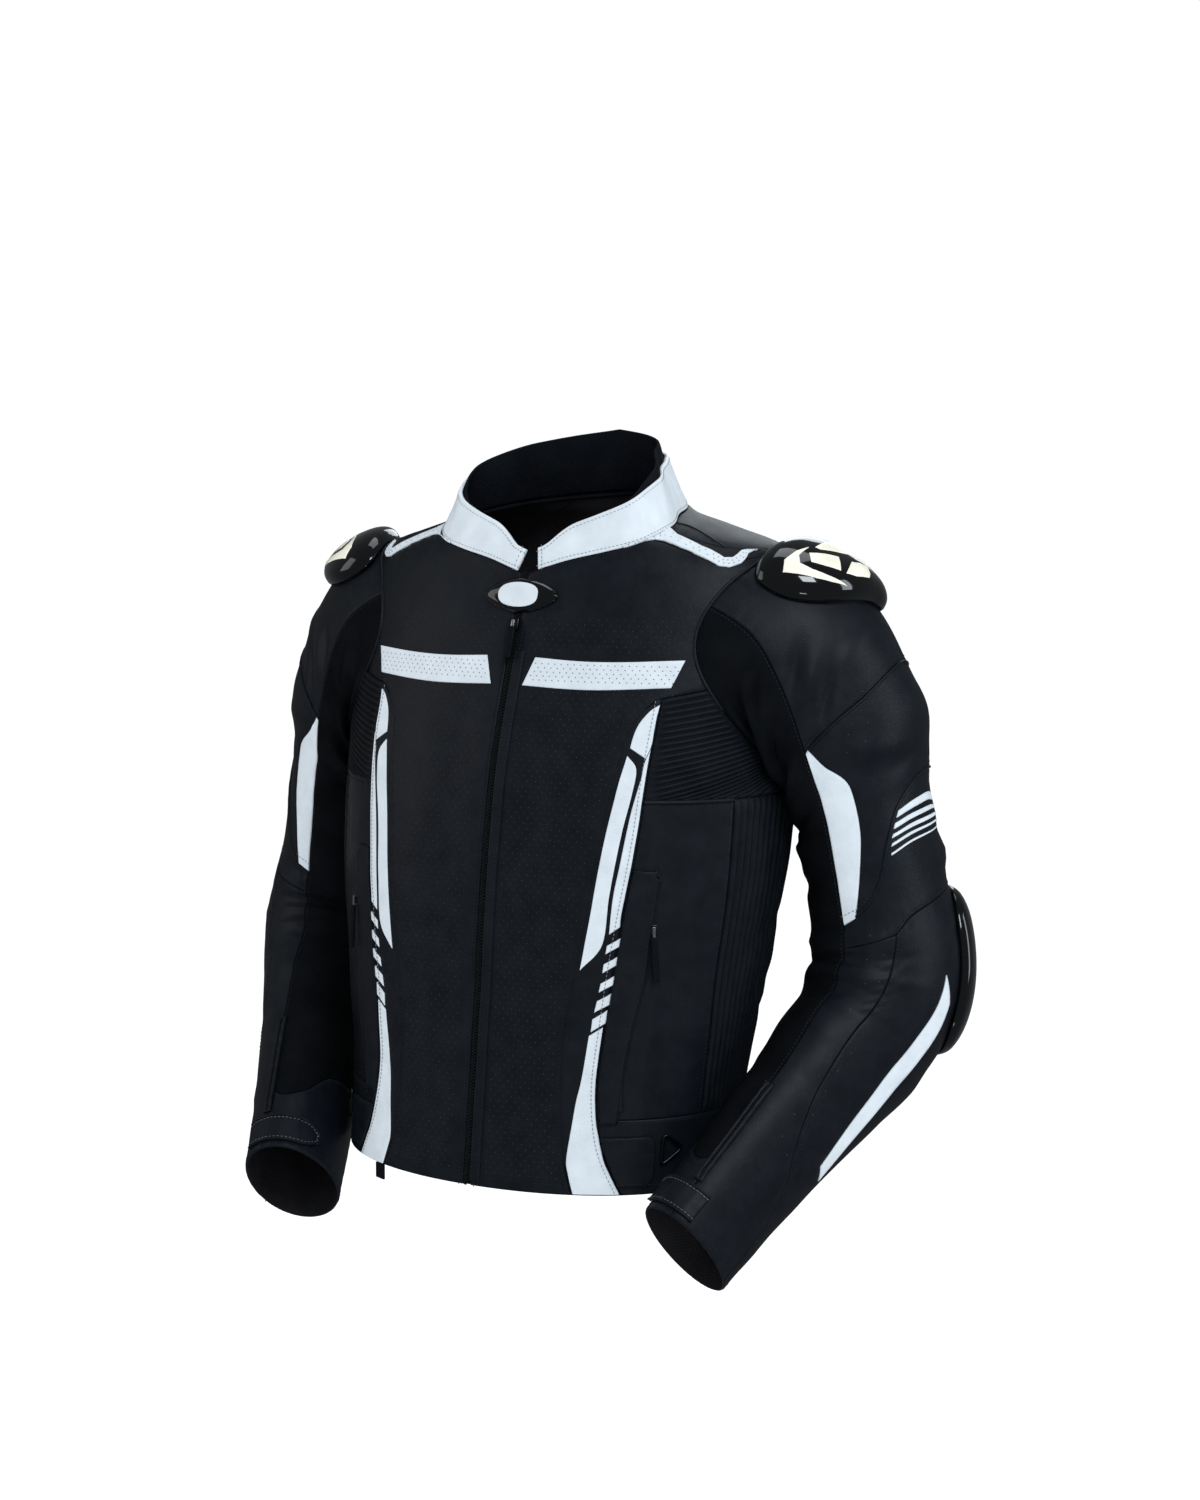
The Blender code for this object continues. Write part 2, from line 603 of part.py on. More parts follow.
# ---------------------------------------------------------------- collar
COLLAR = np.array([      # turn, height of the pale band, rise of the inner band above it
    (0.0, 0.026, -0.006), (20.0, 0.032, -0.003), (45.0, 0.039, 0.006), (70.0, 0.041, 0.012),
    (120.0, 0.043, 0.013), (180.0, 0.045, 0.013)])
BAND_WALL = 0.0030
NECK_TURNS = np.concatenate([np.linspace(4, 38, 4), np.linspace(38, 50, 2)[1:],
                             np.linspace(50, 140, 7)[1:], np.linspace(140, 180, 4)[1:]])


def collar_base(turn):
    a = np.abs((turn + 180) % 360 - 180)
    z = table(NECK, a)[..., 0]
    return trunk_point(turn, z), a


def collar_surface(turn, up):
    """Outer face of the pale band: up runs from 0 at its foot to 1 at its top."""
    base, a = collar_base(turn)
    tall = table(COLLAR, a)[..., 0]
    inward = unit((base - np.array([0, -0.004, 0]))*[1, 1, 0])
    lean = 0.52*tall*up*(1 - 0.18*up)
    p = base - inward*lean[..., None]
    p = p + np.stack([0*up, 0*up, tall*up + GAP/2], -1)
    n = unit(inward + np.stack([0*up, 0*up, 0.45 - 0.1*up], -1))
    # keep the foot's cut level, so that it stands clear of the panels below it
    flat = np.clip(1 - up*4, 0, 1)[..., None]
    n = unit(n*(1 - flat) + unit(n*[1, 1, 0.02])*flat)
    return p, n, tall


def collar_pieces():
    turn = np.concatenate([NECK_TURNS, 360 - NECK_TURNS[::-1][1:]])
    up = np.array([0.0, 0.3, 0.65, 0.92, 1.0])
    t, u = np.meshgrid(turn, up)
    # round off the front top corners
    near = np.minimum(t, 360 - t)
    u = u*(1 - 0.28*np.clip(1 - (near - 4)/9, 0, 1)**2)
    p, n, tall = collar_surface(t, u)
    sheet("collar", p, n, BAND_WALL, (WHITE, 0.5), both=False)

    # knitted band inside, its facets beside those of the pale band
    turn = turn[2:-2]
    t, v = np.meshgrid(turn, np.array([0.12, 0.30, 0.65, 0.92, 1.0]))
    near = np.minimum(t, 360 - t)
    more = table(COLLAR, near)
    v[-1] += more[-1, :, 1]/more[-1, :, 0]
    v[-2] = 0.5*(v[-3] + v[-1]) + 0.05
    p, n, tall = collar_surface(t, v)
    p = p - n*(BAND_WALL + 2*GAP)
    sheet("collar_inner", p, n, 0.0024, (DEEP, 0.85), both=False)


# ---------------------------------------------------------------- sleeve pieces
RING_CAP = np.array([60, 50, 40, 30, 19, *RING_YOKE, -55, -70, -85, -100, -115, -130])
BICEPS = np.array([(-130, 0.112), (-60, 0.106), (-16, 0.108), (20, 0.113), (40, 0.119),
                   (60, 0.123), (80, 0.127), (95, 0.130)])
TRICEPS = [(0.268, 82), (0.256, 66), (0.238, 54), (0.212, 45), (0.193, 34), (0.182, 18),
           (0.177, 0), (0.175, -30), (0.175, -60), (0.177, -95), (0.180, -130)]
PALE = [(0.132, 77), (0.146, 73), (0.162, 64), (0.176, 62.5), (0.205, 64.5), (0.238, 72)]
FORE_TOP = [(0.294, 56), (0.277, 38), (0.269, 6), (0.266, -25), (0.264, -60), (0.264, -130)]
FORE_SEAM = [(0.294, 56), (0.325, 60), (0.356, 61), (0.400, 58), (0.444, 54), (0.490, 43),
             (0.526, 26), (0.552, 6), (0.590, -10), (CUFF, -20)]
CAP_ROWS, MID_ROWS, ELBOW_ROWS, FORE_ROWS, WRIST_ROWS = 6, 5, 3, 8, 2
FORE_STEPS = np.array([0.0, 0.07, 0.14, 0.21, 0.285, 0.37, 0.53, 0.75, 1.0])


def edge_at(s):
    s = np.asarray(s, float)
    return np.stack([s, table(EDGE, s)[..., 0]], -1)


def biceps(turn):
    turn = np.asarray(turn, float)
    return np.stack([table(BICEPS, turn)[..., 0], turn], -1)


def rear(a, b, n):
    return np.stack([np.linspace(a, b, n + 1), np.full(n + 1, REAR)], -1)


def rear_at(s):
    return np.stack([s, np.full(len(s), REAR)], -1)


def sleeve_sheet(name, patch, wall, finish, ring=None):
    p, n = patch
    thick = np.full(p.shape[:2], wall)
    if ring is not None:
        m, more = mitre(np.asarray(ring, float))
        n[0] = m
        thick[0] *= more
        p[0] = armhole(np.asarray(ring, float))
    sheet(name, p, n, thick, finish)


def sleeve_pieces():
    s0 = 0.128
    a0 = edge_at(s0)
    tip = biceps(78.0)
    seam = biceps(np.linspace(78, REAR, len(RING_CAP) - 1))
    low = np.stack([0*RING_CAP, RING_CAP], -1)
    cap_left = edge_at(np.linspace(0, s0, CAP_ROWS + 1))
    cap_right = rear(0, seam[-1][0], CAP_ROWS)
    patch = sleeve_patch(low, chain([a0, tip], seam), cap_left, cap_right)
    sleeve_sheet("sleeve_cap", patch, LEATHER, (BLACK, 0.45), RING_CAP)

    # mid piece between the two seams, with the pale insert before it
    inner = through(TRICEPS, len(RING_CAP) - 2)
    pale = through([tip, *PALE, TRICEPS[0]], MID_ROWS)
    b0 = edge_at(0.275)
    patch = sleeve_patch(seam, inner, pale, rear(seam[-1][0], inner[-1][0], MID_ROWS), 30)
    sleeve_sheet("sleeve_mid", patch, LEATHER, (BLACK, 0.45))
    left = edge_at(np.linspace(s0, 0.275, MID_ROWS + 1))
    g = sleeve_patch(line(a0, tip, 2), line(b0, inner[0], 2), left, pale)
    straighten(g[0], g[1], "low", lambda j: j % 2 == 0)
    straighten(g[0], g[1], "high", lambda j: j % 2 == 0)
    sleeve_sheet("sleeve_insert", g, LEATHER, (WHITE, 0.5))

    # elbow piece, then the two forearm pieces
    c0 = edge_at(0.312)
    top_front = through([c0, FORE_TOP[0]], 5)
    top_back = through(FORE_TOP, len(RING_CAP) - 1 - 5)
    left = edge_at(np.linspace(0.275, 0.312, ELBOW_ROWS + 1))
    right = rear(inner[-1][0], top_back[-1][0], ELBOW_ROWS)
    patch = sleeve_patch(chain([b0, inner[0]], inner), chain(top_front, top_back), left, right)
    sleeve_sheet("sleeve_elbow", patch, LEATHER, (BLACK, 0.5))

    rows = FORE_ROWS + WRIST_ROWS
    split = 0.575
    left = edge_at(np.concatenate([0.312 + (split - 0.312)*FORE_STEPS,
                                   np.linspace(split, CUFF, WRIST_ROWS + 1)[1:]]))
    steps = np.concatenate([FORE_STEPS*0.80, np.linspace(0.80, 1, WRIST_ROWS + 1)[1:]])
    seam = through(FORE_SEAM, rows, steps)
    ring = np.stack([np.full(6, CUFF), np.linspace(left[-1][1], seam[-1][1], 6)], -1)
    sleeve_sheet("forearm_front", sleeve_patch(top_front, ring, left, seam), LEATHER, (BLACK, 0.5))
    back_split = 0.545
    right = np.concatenate([rear_at(top_back[-1][0] + (back_split - top_back[-1][0])*FORE_STEPS),
                            rear(back_split, CUFF, WRIST_ROWS)[1:]])
    k = len(top_back)
    ring = np.stack([np.full(k, CUFF), np.linspace(seam[-1][1], REAR, k)], -1)
    sleeve_sheet("forearm_outer", sleeve_patch(top_back, ring, seam, right), LEATHER, (BLACK, 0.5))

    # inner stretch piece and the leather below it; turns run on to 230
    ring = np.concatenate([[60, 75, 90], RING_UNDER, [215, 230]])
    low = np.stack([0*ring, ring], -1)
    left = chain(cap_left, edge_at(np.linspace(s0, 0.275, MID_ROWS + 1)),
                 edge_at(np.linspace(0.275, 0.312, ELBOW_ROWS + 1)),
                 edge_at(0.312 + (split - 0.312)*FORE_STEPS))
    right = chain(cap_right, rear(cap_right[-1][0], inner[-1][0], MID_ROWS),
                  rear(inner[-1][0], top_back[-1][0], ELBOW_ROWS),
                  rear_at(top_back[-1][0] + (back_split - top_back[-1][0])*FORE_STEPS))
    right = right*[1, 0] + [0, 360 + REAR]
    end = through([left[-1], (0.583, 100), (0.574, 126), (0.552, 150), (0.545, 185), right[-1]],
                  len(ring) - 1)
    sleeve_sheet("sleeve_stretch", sleeve_patch(low, end, left, right), KNIT, (DEEP, 0.8), ring)
    left = edge_at(np.linspace(split, CUFF, WRIST_ROWS + 1))
    right = rear(back_split, CUFF, WRIST_ROWS)*[1, 0] + [0, 360 + REAR]
    high = np.stack([np.full(len(ring), CUFF), np.linspace(left[-1][1], 360 + REAR, len(ring))], -1)
    sleeve_sheet("cuff_inner", sleeve_patch(end, high, left, right), LEATHER, (BLACK, 0.45))


# ---------------------------------------------------------------- pieces lying on the cloth
def front_place(x, z):
    """Point and normal of the trunk's front at a sideways place and height."""
    x, z = np.broadcast_arrays(np.asarray(x, float), np.asarray(z, float))
    s = table(TRUNK, z)
    k = np.clip(1 - np.abs(x/s[..., 0])**s[..., 4], 1e-6, 1)
    p = np.stack([x, s[..., 3] - s[..., 1]*k**(1/s[..., 4]), z], -1)
    n = trunk_normal(p)
    return p + n*trunk_fold(trunk_turn(p), z, p)[..., None], n


def pad(name, place, reach, heights, finish, both=True, round_to=2.0, count=24, off=LIFT,
        wall=None):
    """A domed piece: rings of places from the middle out, standing on the cloth.
    With a wall it is a hollow cup resting on its rim."""
    t = np.linspace(0, 2*math.pi, count, endpoint=False)
    c, s = np.cos(t), np.sin(t)
    shape = (np.abs(c)**round_to + np.abs(s)**round_to)**(-1/round_to)
    tops, feet = [], []
    for r, h in heights:
        p, n = place(reach[0]*r*shape*c, reach[1]*r*shape*s)
        tops.append(p + n*(off + h))
        under = 0 if wall is None or r > 0.99 else h - wall
        feet.append(p + n*(off + under))
    p, n = place(np.zeros(1), np.zeros(1))
    peak = heights[0][1]
    under = 0 if wall is None else peak - wall
    verts = [np.concatenate(tops), np.concatenate(feet), p + n*(off + peak), p + n*(off + under)]
    k, m = len(heights), count
    w = k*m
    f = []
    for a in range(k - 1):
        for b in range(m):
            q = (b + 1) % m
            f.append((a*m + b, (a+1)*m + b, (a+1)*m + q, a*m + q))
            f.append((w + a*m + b, w + a*m + q, w + (a+1)*m + q, w + (a+1)*m + b))
    last = (k - 1)*m
    for b in range(m):
        q = (b + 1) % m
        f.append((last + b, w + last + b, w + last + q, last + q))
        f.append((2*w, b, q))
        f.append((2*w + 1, w + q, w + b))
    verts = np.concatenate(verts)
    # face outwards whichever way the places turn
    a, b, c = (verts[j] for j in (2*w, 0, 1))
    if np.dot(np.cross(b - a, c - a), n[0]) < 0:
        f = [q[::-1] for q in f]
    add(name, verts, f, finish, both)


def rod(name, points, radius, finish, both=True, sides=6):
    """A round wire along a closed row of points."""
    points = np.asarray(points, float)
    ahead = unit(np.roll(points, -1, 0) - np.roll(points, 1, 0))
    mid = points.mean(0)
    out = unit(points - mid)
    out = unit(out - (out*ahead).sum(-1, keepdims=True)*ahead)
    side = np.cross(ahead, out)
    verts, f = [], []
    for k in range(sides):
        a = 2*math.pi*k/sides
        verts.append(points + radius*(math.cos(a)*out + math.sin(a)*side))
    v = np.stack(verts, 1).reshape(-1, 3)
    m = len(points)
    for i in range(m):
        for k in range(sides):
            j, q = (i + 1) % m, (k + 1) % sides
            f.append((i*sides + k, j*sides + k, j*sides + q, i*sides + q))
    c = v[list(f[0])].mean(0)
    nrm = np.cross(v[f[0][1]] - v[f[0][0]], v[f[0][3]] - v[f[0][0]])
    if np.dot(nrm, c - points[0]) < 0:
        f = [q[::-1] for q in f]
    add(name, v, f, finish, both)


def block(name, centre, axes, half, finish, both=True, bevel=0.0006, origin=(0, 0, 0)):
    """A small box with its edges broken, turned by three axes."""
    h = np.asarray(half, float)
    ring = np.array([(-1, -1), (1, -1), (1, 1), (-1, 1)], float)
    loops = []
    for z, cut in ((-1, 1), (-1, 0), (1, 0), (1, 1)):
        low = h[:2] - bevel*cut
        zz = z*(h[2] - bevel*(1 - cut))
        loops.append(np.column_stack([ring*low, np.full(4, zz)]))
    v = np.concatenate(loops) @ np.asarray(axes, float) + np.asarray(centre, float)
    f = [(3, 2, 1, 0), (12, 13, 14, 15)]
    for a in range(3):
        for b in range(4):
            q = (b + 1) % 4
            f.append((a*4 + b, a*4 + q, (a+1)*4 + q, (a+1)*4 + b))
    if np.linalg.det(np.asarray(axes, float)) < 0:
        f = [q[::-1] for q in f]
    add(name, v, f, finish, both, origin)


def strip_on(name, p, n, thick, finish, both=True, off=LIFT):
    """A flat piece whose grid of places lies on the cloth."""
    q = p + n*(off + thick)
    sheet(name, q, n, thick, finish, both, tuck=0)


# ---------------------------------------------------------------- zips, badge, tabs, cups
BADGE = (0.035, 0.0140, -0.068)      # half width, half height, height of its middle
ZIP_SLIDER = -0.0905
ZIP_PULL = (0.0032, 0.034, 0.0020)    # half width, length, half thickness
POCKET_PULL = (0.0028, 0.046, 0.0016)
POCKET_SLIDER = -0.330
PIN_UP = 0.0012                      # pin above the slider's middle
PIN_END = 0.0015                     # tag's length beyond its pin
PULL_BEVEL = 0.0007
WELT = (0.0030, 0.0155, 0.0046)      # welt from the insert, its width, slider beyond it
ZIP_SLIDE = (0.0042, 0.0055, 0.0016) # half sizes of the sliders
POCKET_SLIDE = (0.0036, 0.0050, 0.0014)


def zip_pieces():
    heights = np.concatenate([LOW, MID[1:], HIGH[1:]])
    upper = np.linspace(TIP, float(table(NECK, 2.0)[0]), 10)
    z = np.concatenate([heights, upper[1:]])
    z = z + 0.020*np.clip((z - HEM)/(TIP - HEM), 0, 1)**3*np.clip((-0.05 - z)/0.097, 0, 1)
    z[-1] -= 0.002
    x, zz = np.meshgrid([-0.0032, 0.0032], z)
    s = table(TRUNK, zz)
    k = 1 - np.abs(x/s[..., 0])**s[..., 4]
    p = np.stack([x, s[..., 3] - s[..., 1]*k**(1/s[..., 4]), zz], -1)
    n = trunk_normal(p)
    p = p + n*trunk_fold(trunk_turn(p), zz, p)[..., None]
    sheet("zip_chain", p - n*0.0004, n, 0.0016, (DEEP, 0.5), both=False)

    def on_front(u, w):
        return front_place(u, BADGE[2] + w)
    pad("zip_badge", on_front, BADGE[:2], [(0.55, 0.0048), (0.88, 0.0034), (1.0, 0.0014)],
        (GLOSS, 0.15), False, 1.6, 20)
    slider_and_pull("zip", 0.0, ZIP_SLIDER, 0.0, ZIP_SLIDE, ZIP_PULL, False)


def slider_and_pull(word, x, z, lean, slide, tag, both):
    """A slider lying on the cloth, and a flat tag that turns on a pin above it."""
    p, n = front_place(x, z)
    line_up = np.array([lean, 0, 1.0])
    up = unit(line_up - np.dot(n, line_up)*n)
    axes = np.array([np.cross(up, n), up, n])
    block(word + "_slider", p + n*(LIFT + slide[2]), axes, slide, (METAL, 0.35, 1.0), both)
    wide, tall, thick = tag
    pin = p + n*(LIFT + 2*slide[2] + GAP + thick) + up*PIN_UP
    half = (wide, tall/2, thick)
    mid = pin + up*(PIN_END - tall/2)
    block(word + "_pull", mid, axes, half, (DEEP, 0.4), both, PULL_BEVEL, pin)


def pocket_pieces():
    z = np.linspace(-0.480, -0.284, 9)
    left = table(INSERT, z)[..., 1] + WELT[0]
    x = left[:, None] + WELT[1]*np.array([0, 0.5, 1.0])
    p, n = front_place(x, z[:, None] + 0*x)
    strip_on("pocket_welt", p, n, 0.0020, (BLACK, 0.5))
    x = float(table(INSERT, POCKET_SLIDER)[1]) + WELT[0] + WELT[1] + WELT[2]
    slider_and_pull("pocket", x, POCKET_SLIDER, -0.05, POCKET_SLIDE, POCKET_PULL, True)


def waist_pieces():
    z = np.linspace(-0.541, -0.501, 3)
    x0 = table(INSERT, z)[..., 1] + 0.0008
    t = np.linspace(0, 1, 4)
    x = x0[:, None] + (np.array([0.146, 0.147, 0.147]) - x0)[:, None]*t
    p, n = front_place(x, z[:, None] + 0*x)
    strip_on("waist_tab", p, n, 0.0022, (BLACK, 0.5))
    # wire ring beside the tab: a rounded triangle
    corners = np.array([(0.0, 0.013), (0.020, 0.0), (0.0, -0.013)])
    pts = []
    for i in range(3):
        a, b, c = corners[i - 1], corners[i], corners[(i + 1) % 3]
        for t in (0.0, 0.5, 1.0):
            u = b + (a - b)*0.22*(1 - t)
            w = b + (c - b)*0.22*t
            pts.append((1 - t)*u + t*w)
    pts = np.array(pts)
    turn = 57.3 + np.degrees(pts[:, 0]/0.155)
    z = -0.512 + pts[:, 1]
    p = trunk_point(turn, z)
    n = trunk_normal(p)
    rod("waist_ring", p + n*0.0022, 0.0014, (METAL, 0.3, 1.0))
    # small loop below the right front hem
    t = np.linspace(0, 2*math.pi, 12, endpoint=False)
    p, n = front_place(-0.098, HEM)
    side = unit(np.cross([0, 0, 1.0], n))
    down = np.array([0, 0, -1.0])
    mid = p - n*0.0012 + down*(0.0085 + 0.0013 + GAP/2)
    ring = mid + np.outer(np.cos(t)*0.0030, side) + np.outer(np.sin(t)*0.0085, down)
    rod("hem_loop", ring, 0.0013, (DEEP, 0.7), False)


def sleeve_place(s0, turn0, radius):
    def place(u, w):
        s = s0 + u
        turn = turn0 + np.degrees(w/radius)
        p, n = sleeve_point(s, turn)
        return p, n
    return place


def sleeve_trims():
    pad("shoulder_cup", sleeve_place(0.041, 2.0, 0.086), (0.037, 0.057),
        [(0.45, 0.0176), (0.80, 0.0145), (0.95, 0.0085), (1.0, 0.0032)],
        (GLOSS, 0.12), True, 2.7, 24, wall=0.0030)
    pad("elbow_slider", sleeve_place(0.322, -44.0, 0.070), (0.053, 0.044),
        [(0.50, 0.0116), (0.82, 0.0098), (0.95, 0.0064), (1.0, 0.0026)],
        (GLOSS, 0.2), True, 2.6, 20, wall=0.0030)
    # cuff zip lip along the stretch piece's edge, and the closing tab round the cuff
    s = np.linspace(0.500, 0.600, 6)
    t = np.array([-5.5, 0.0, 5.5])
    p, n = sleeve_point(s[:, None] + 0*t, table(EDGE, s)[..., 0][:, None] + t)
    q = p + n*(LIFT + np.array([0.0014, 0.0030, 0.0014]))[None, :, None]
    sheet("cuff_zip", q, n, np.array([0.0014, 0.0030, 0.0014]) + 0*p[..., 0], (BLACK, 0.45), tuck=0)
    turn = np.linspace(58, 148, 9)
    half = np.array([1, 1, 1, 1, 1, 1, 1, 0.92, 0.55])*0.0125
    v = np.array([-1.0, 0.0, 1.0])
    p, n = sleeve_point(0.618 + v[:, None]*half, turn[None] + 0*v[:, None])
    strip_on("cuff_tab", p, n, 0.0022, (BLACK, 0.45))


def main():
    for obj in list(bpy.data.objects):
        bpy.data.objects.remove(obj)
    front_pieces()
    side_pieces()
    back_pieces()
    collar_pieces()
    sleeve_pieces()
    zip_pieces()
    pocket_pieces()
    waist_pieces()
    sleeve_trims()


main()
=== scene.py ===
# %% [markdown]
# # A motorcycle jacket in leather, knit and hard plastic
# The jacket is built in the order in which a maker would sew it: trunk, collar, sleeves, then
# the hard cups, zips and tabs, and last the stitching.  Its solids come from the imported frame
# and are only used as places to build on: every cloth piece gets a finer shell of its own.

# %% load the frame
import bpy
import math
import numpy as np
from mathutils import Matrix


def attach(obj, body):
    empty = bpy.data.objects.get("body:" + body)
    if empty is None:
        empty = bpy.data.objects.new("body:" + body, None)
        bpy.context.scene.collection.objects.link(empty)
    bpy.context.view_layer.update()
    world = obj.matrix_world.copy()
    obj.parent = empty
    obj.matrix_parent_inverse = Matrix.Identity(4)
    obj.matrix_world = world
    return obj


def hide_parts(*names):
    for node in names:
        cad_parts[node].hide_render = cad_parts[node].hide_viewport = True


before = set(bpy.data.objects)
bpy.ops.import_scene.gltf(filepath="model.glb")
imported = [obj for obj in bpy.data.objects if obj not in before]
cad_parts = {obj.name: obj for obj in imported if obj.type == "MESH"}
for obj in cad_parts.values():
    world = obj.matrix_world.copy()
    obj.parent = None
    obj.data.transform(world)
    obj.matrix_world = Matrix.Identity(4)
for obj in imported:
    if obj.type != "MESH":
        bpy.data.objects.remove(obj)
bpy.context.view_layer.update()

# %% [markdown]
# ## The camera, the floor and the light
# A product picture is taken with a long lens, so that the near sleeve does not look swollen.
# The camera stands to the jacket's own left, a little above the waist.  Large soft lamps and a
# pale world stand in for a studio tent.  Shiny surfaces see a dimmer world than the camera
# does, because black leather in an all-white tent would look grey, and the floor is kept
# out of their reflections for the same reason.  The paper floor is lit a little from
# behind, so that its far edge is as white as the tent.

# %% camera
TURN, RISE, FAR = math.radians(29.0), math.radians(7.0), 2.3
AIM = np.array([0.0, 0.0, -0.2])
BACKWARD = np.array([math.sin(TURN)*math.cos(RISE), -math.cos(TURN)*math.cos(RISE), math.sin(RISE)])
SENSOR, TALL = 36, 1500     # the sensor's long side in mm, the picture's in pixels
PER_METRE = 1140            # pixels for one metre at the jacket's distance
ASIDE, ABOVE = 10, -12      # how far the picture is shifted, in pixels
lens = bpy.data.cameras.new("studio_camera")
lens.sensor_width = SENSOR
lens.sensor_fit = "AUTO"
lens.lens = PER_METRE*FAR*SENSOR/TALL
lens.shift_x = ASIDE/TALL
lens.shift_y = ABOVE/TALL
camera = bpy.data.objects.new("studio_camera", lens)
camera.location = AIM + BACKWARD*FAR
camera.rotation_euler = (math.pi/2 - RISE, 0, TURN)
bpy.context.scene.collection.objects.link(camera)
bpy.context.scene.camera = camera
print("lens", round(lens.lens, 2), "mm")


# %% lamps
COOL, WARM = (0.88, 0.95, 1.0), (1.0, 0.97, 0.94)


def lamp(name, place, size, power, tint=COOL):
    """A soft rectangle of light that faces the jacket."""
    data = bpy.data.lights.new(name, "AREA")
    data.shape = "RECTANGLE"
    data.size, data.size_y = size
    data.energy = power
    data.color = tint
    obj = bpy.data.objects.new(name, data)
    away = np.asarray(place, float) - AIM
    level = math.hypot(away[0], away[1])
    obj.location = place
    obj.rotation_euler = (math.atan2(level, away[2]), 0, math.atan2(away[1], away[0]) + math.pi/2)
    bpy.context.scene.collection.objects.link(obj)


lamp("key", (1.75, -1.5, 1.75), (0.9, 0.9), 31)
lamp("side", (2.3, 0.4, 0.5), (0.6, 1.6), 13)
lamp("fill", (-2.1, -1.5, 0.6), (1.0, 1.6), 7, WARM)
lamp("top", (0.0, 0.5, 2.2), (1.5, 1.0), 9)
lamp("low", (1.0, -1.35, -1.1), (0.34, 0.14), 1.3)
lamp("back", (-0.6, 2.3, 0.9), (1.0, 1.2), 8)
print("lamps:", [light.name for light in bpy.data.lights])

# %% the pale world: bright to the camera, dim in reflections
BRIGHT, DIM = 1.05, 0.12
world = bpy.data.worlds.new("tent")
world.use_nodes = True
nodes, links = world.node_tree.nodes, world.node_tree.links
nodes["Background"].inputs["Color"].default_value = (0.955, 0.975, 1.0, 1)
ray = nodes.new("ShaderNodeLightPath")
either = nodes.new("ShaderNodeMix")
either.inputs["A"].default_value = BRIGHT
either.inputs["B"].default_value = DIM
links.new(ray.outputs["Is Glossy Ray"], either.inputs["Factor"])
links.new(either.outputs["Result"], nodes["Background"].inputs["Strength"])
bpy.context.scene.world = world
bpy.context.scene.view_settings.view_transform = "Standard"
print("world strength", BRIGHT, "and", DIM)

# %% the paper floor
FAR_EDGE, GROUND = 9, -1.35
corners = [(x*FAR_EDGE, y*FAR_EDGE, GROUND) for x, y in ((-1, -1), (1, -1), (1, 1), (-1, 1))]
floor_mesh = bpy.data.meshes.new("floor")
floor_mesh.from_pydata(corners, [], [(0, 1, 2, 3)])
floor = bpy.data.objects.new("floor", floor_mesh)
bpy.context.scene.collection.objects.link(floor)
paper = bpy.data.materials.new("pale_paper")
paper.use_nodes = True
values = paper.node_tree.nodes["Principled BSDF"].inputs
values["Base Color"].default_value = (0.96, 0.96, 0.97, 1)
values["Roughness"].default_value = 0.9
values["Emission Color"].default_value = (1.0, 0.98, 0.95, 1)
values["Emission Strength"].default_value = 0.11
floor_mesh.materials.append(paper)
floor.visible_glossy = False
print("floor at", GROUND, "m")

# %% [markdown]
# ## The body form
# A tailor drafts on a dummy.  Here the dummy is a handful of tables: level sections of the
# trunk, an oval armhole and a bent tube for the sleeve.  All seams are rows of places on it,
# so a piece always knows where its neighbour ends.

# %% wall thicknesses, the gap at a seam, and the lift of a piece that lies on another
LEATHER, KNIT, GAP, LIFT = 0.0022, 0.0018, 0.0003, 0.0004
print("leather", LEATHER, "m, knit", KNIT, "m")

# %% sizes of the trunk
# height, half width, depth to front, depth to back, centre, squareness
TRUNK = np.array([
    (-0.56, 0.176, 0.122, 0.108, -0.09, 2.1), (-0.48, 0.179, 0.125, 0.106, -0.077, 2.1),
    (-0.4, 0.188, 0.128, 0.106, -0.064, 2.2), (-0.3, 0.2, 0.134, 0.112, -0.047, 2.3),
    (-0.2, 0.204, 0.132, 0.118, -0.031, 2.3), (-0.12, 0.204, 0.118, 0.114, -0.018, 2.3),
    (-0.06, 0.202, 0.107, 0.104, -0.009, 2.2), (-0.03, 0.188, 0.102, 0.097, -0.005, 2.0),
    (-0.012, 0.132, 0.099, 0.09, -0.002, 2.0), (0.0, 0.092, 0.094, 0.084, 0.0, 2.0),
    (0.03, 0.084, 0.088, 0.078, 0.0, 2.0)])
# heights of the hem, its band's top seam, the ribbed piece's low seam and the insert's tip
HEM, BAND, RIBS, TIP = -0.548, -0.487, -0.228, -0.147
LOW = np.linspace(HEM, BAND, 3)
MID = np.linspace(BAND, RIBS, 7)
HIGH = np.linspace(RIBS, TIP, 5)
# height, sideways place of the pale insert's inner and outer edge
INSERT = np.array([
    (-0.548, 0.0905, 0.127), (-0.52, 0.083, 0.1145), (-0.505, 0.085, 0.11),
    (-0.464, 0.092, 0.1055), (-0.413, 0.094, 0.1095), (-0.363, 0.0925, 0.115),
    (-0.33, 0.097, 0.1195), (-0.265, 0.104, 0.128), (-0.2, 0.111, 0.132),
    (-0.164, 0.119, 0.134), (-0.147, 0.131, 0.1345)])
# height, turn of the side strip's front edge; its back edge stands upright
STRIP = np.array([(-0.548, 74.0), (-0.487, 72.5), (-0.384, 69.0), (-0.3, 67.5), (-0.228, 66.0)])
STRIP_BACK = 108.0
# turn round the neck, height of the neckline
NECK = np.array([
    (0.0, -0.05), (10.0, -0.039), (20.0, -0.032), (30.0, -0.026), (43.0, -0.018),
    (60.0, -0.01), (75.0, -0.004), (90.0, 0.0), (135.0, 0.007), (180.0, 0.012)])
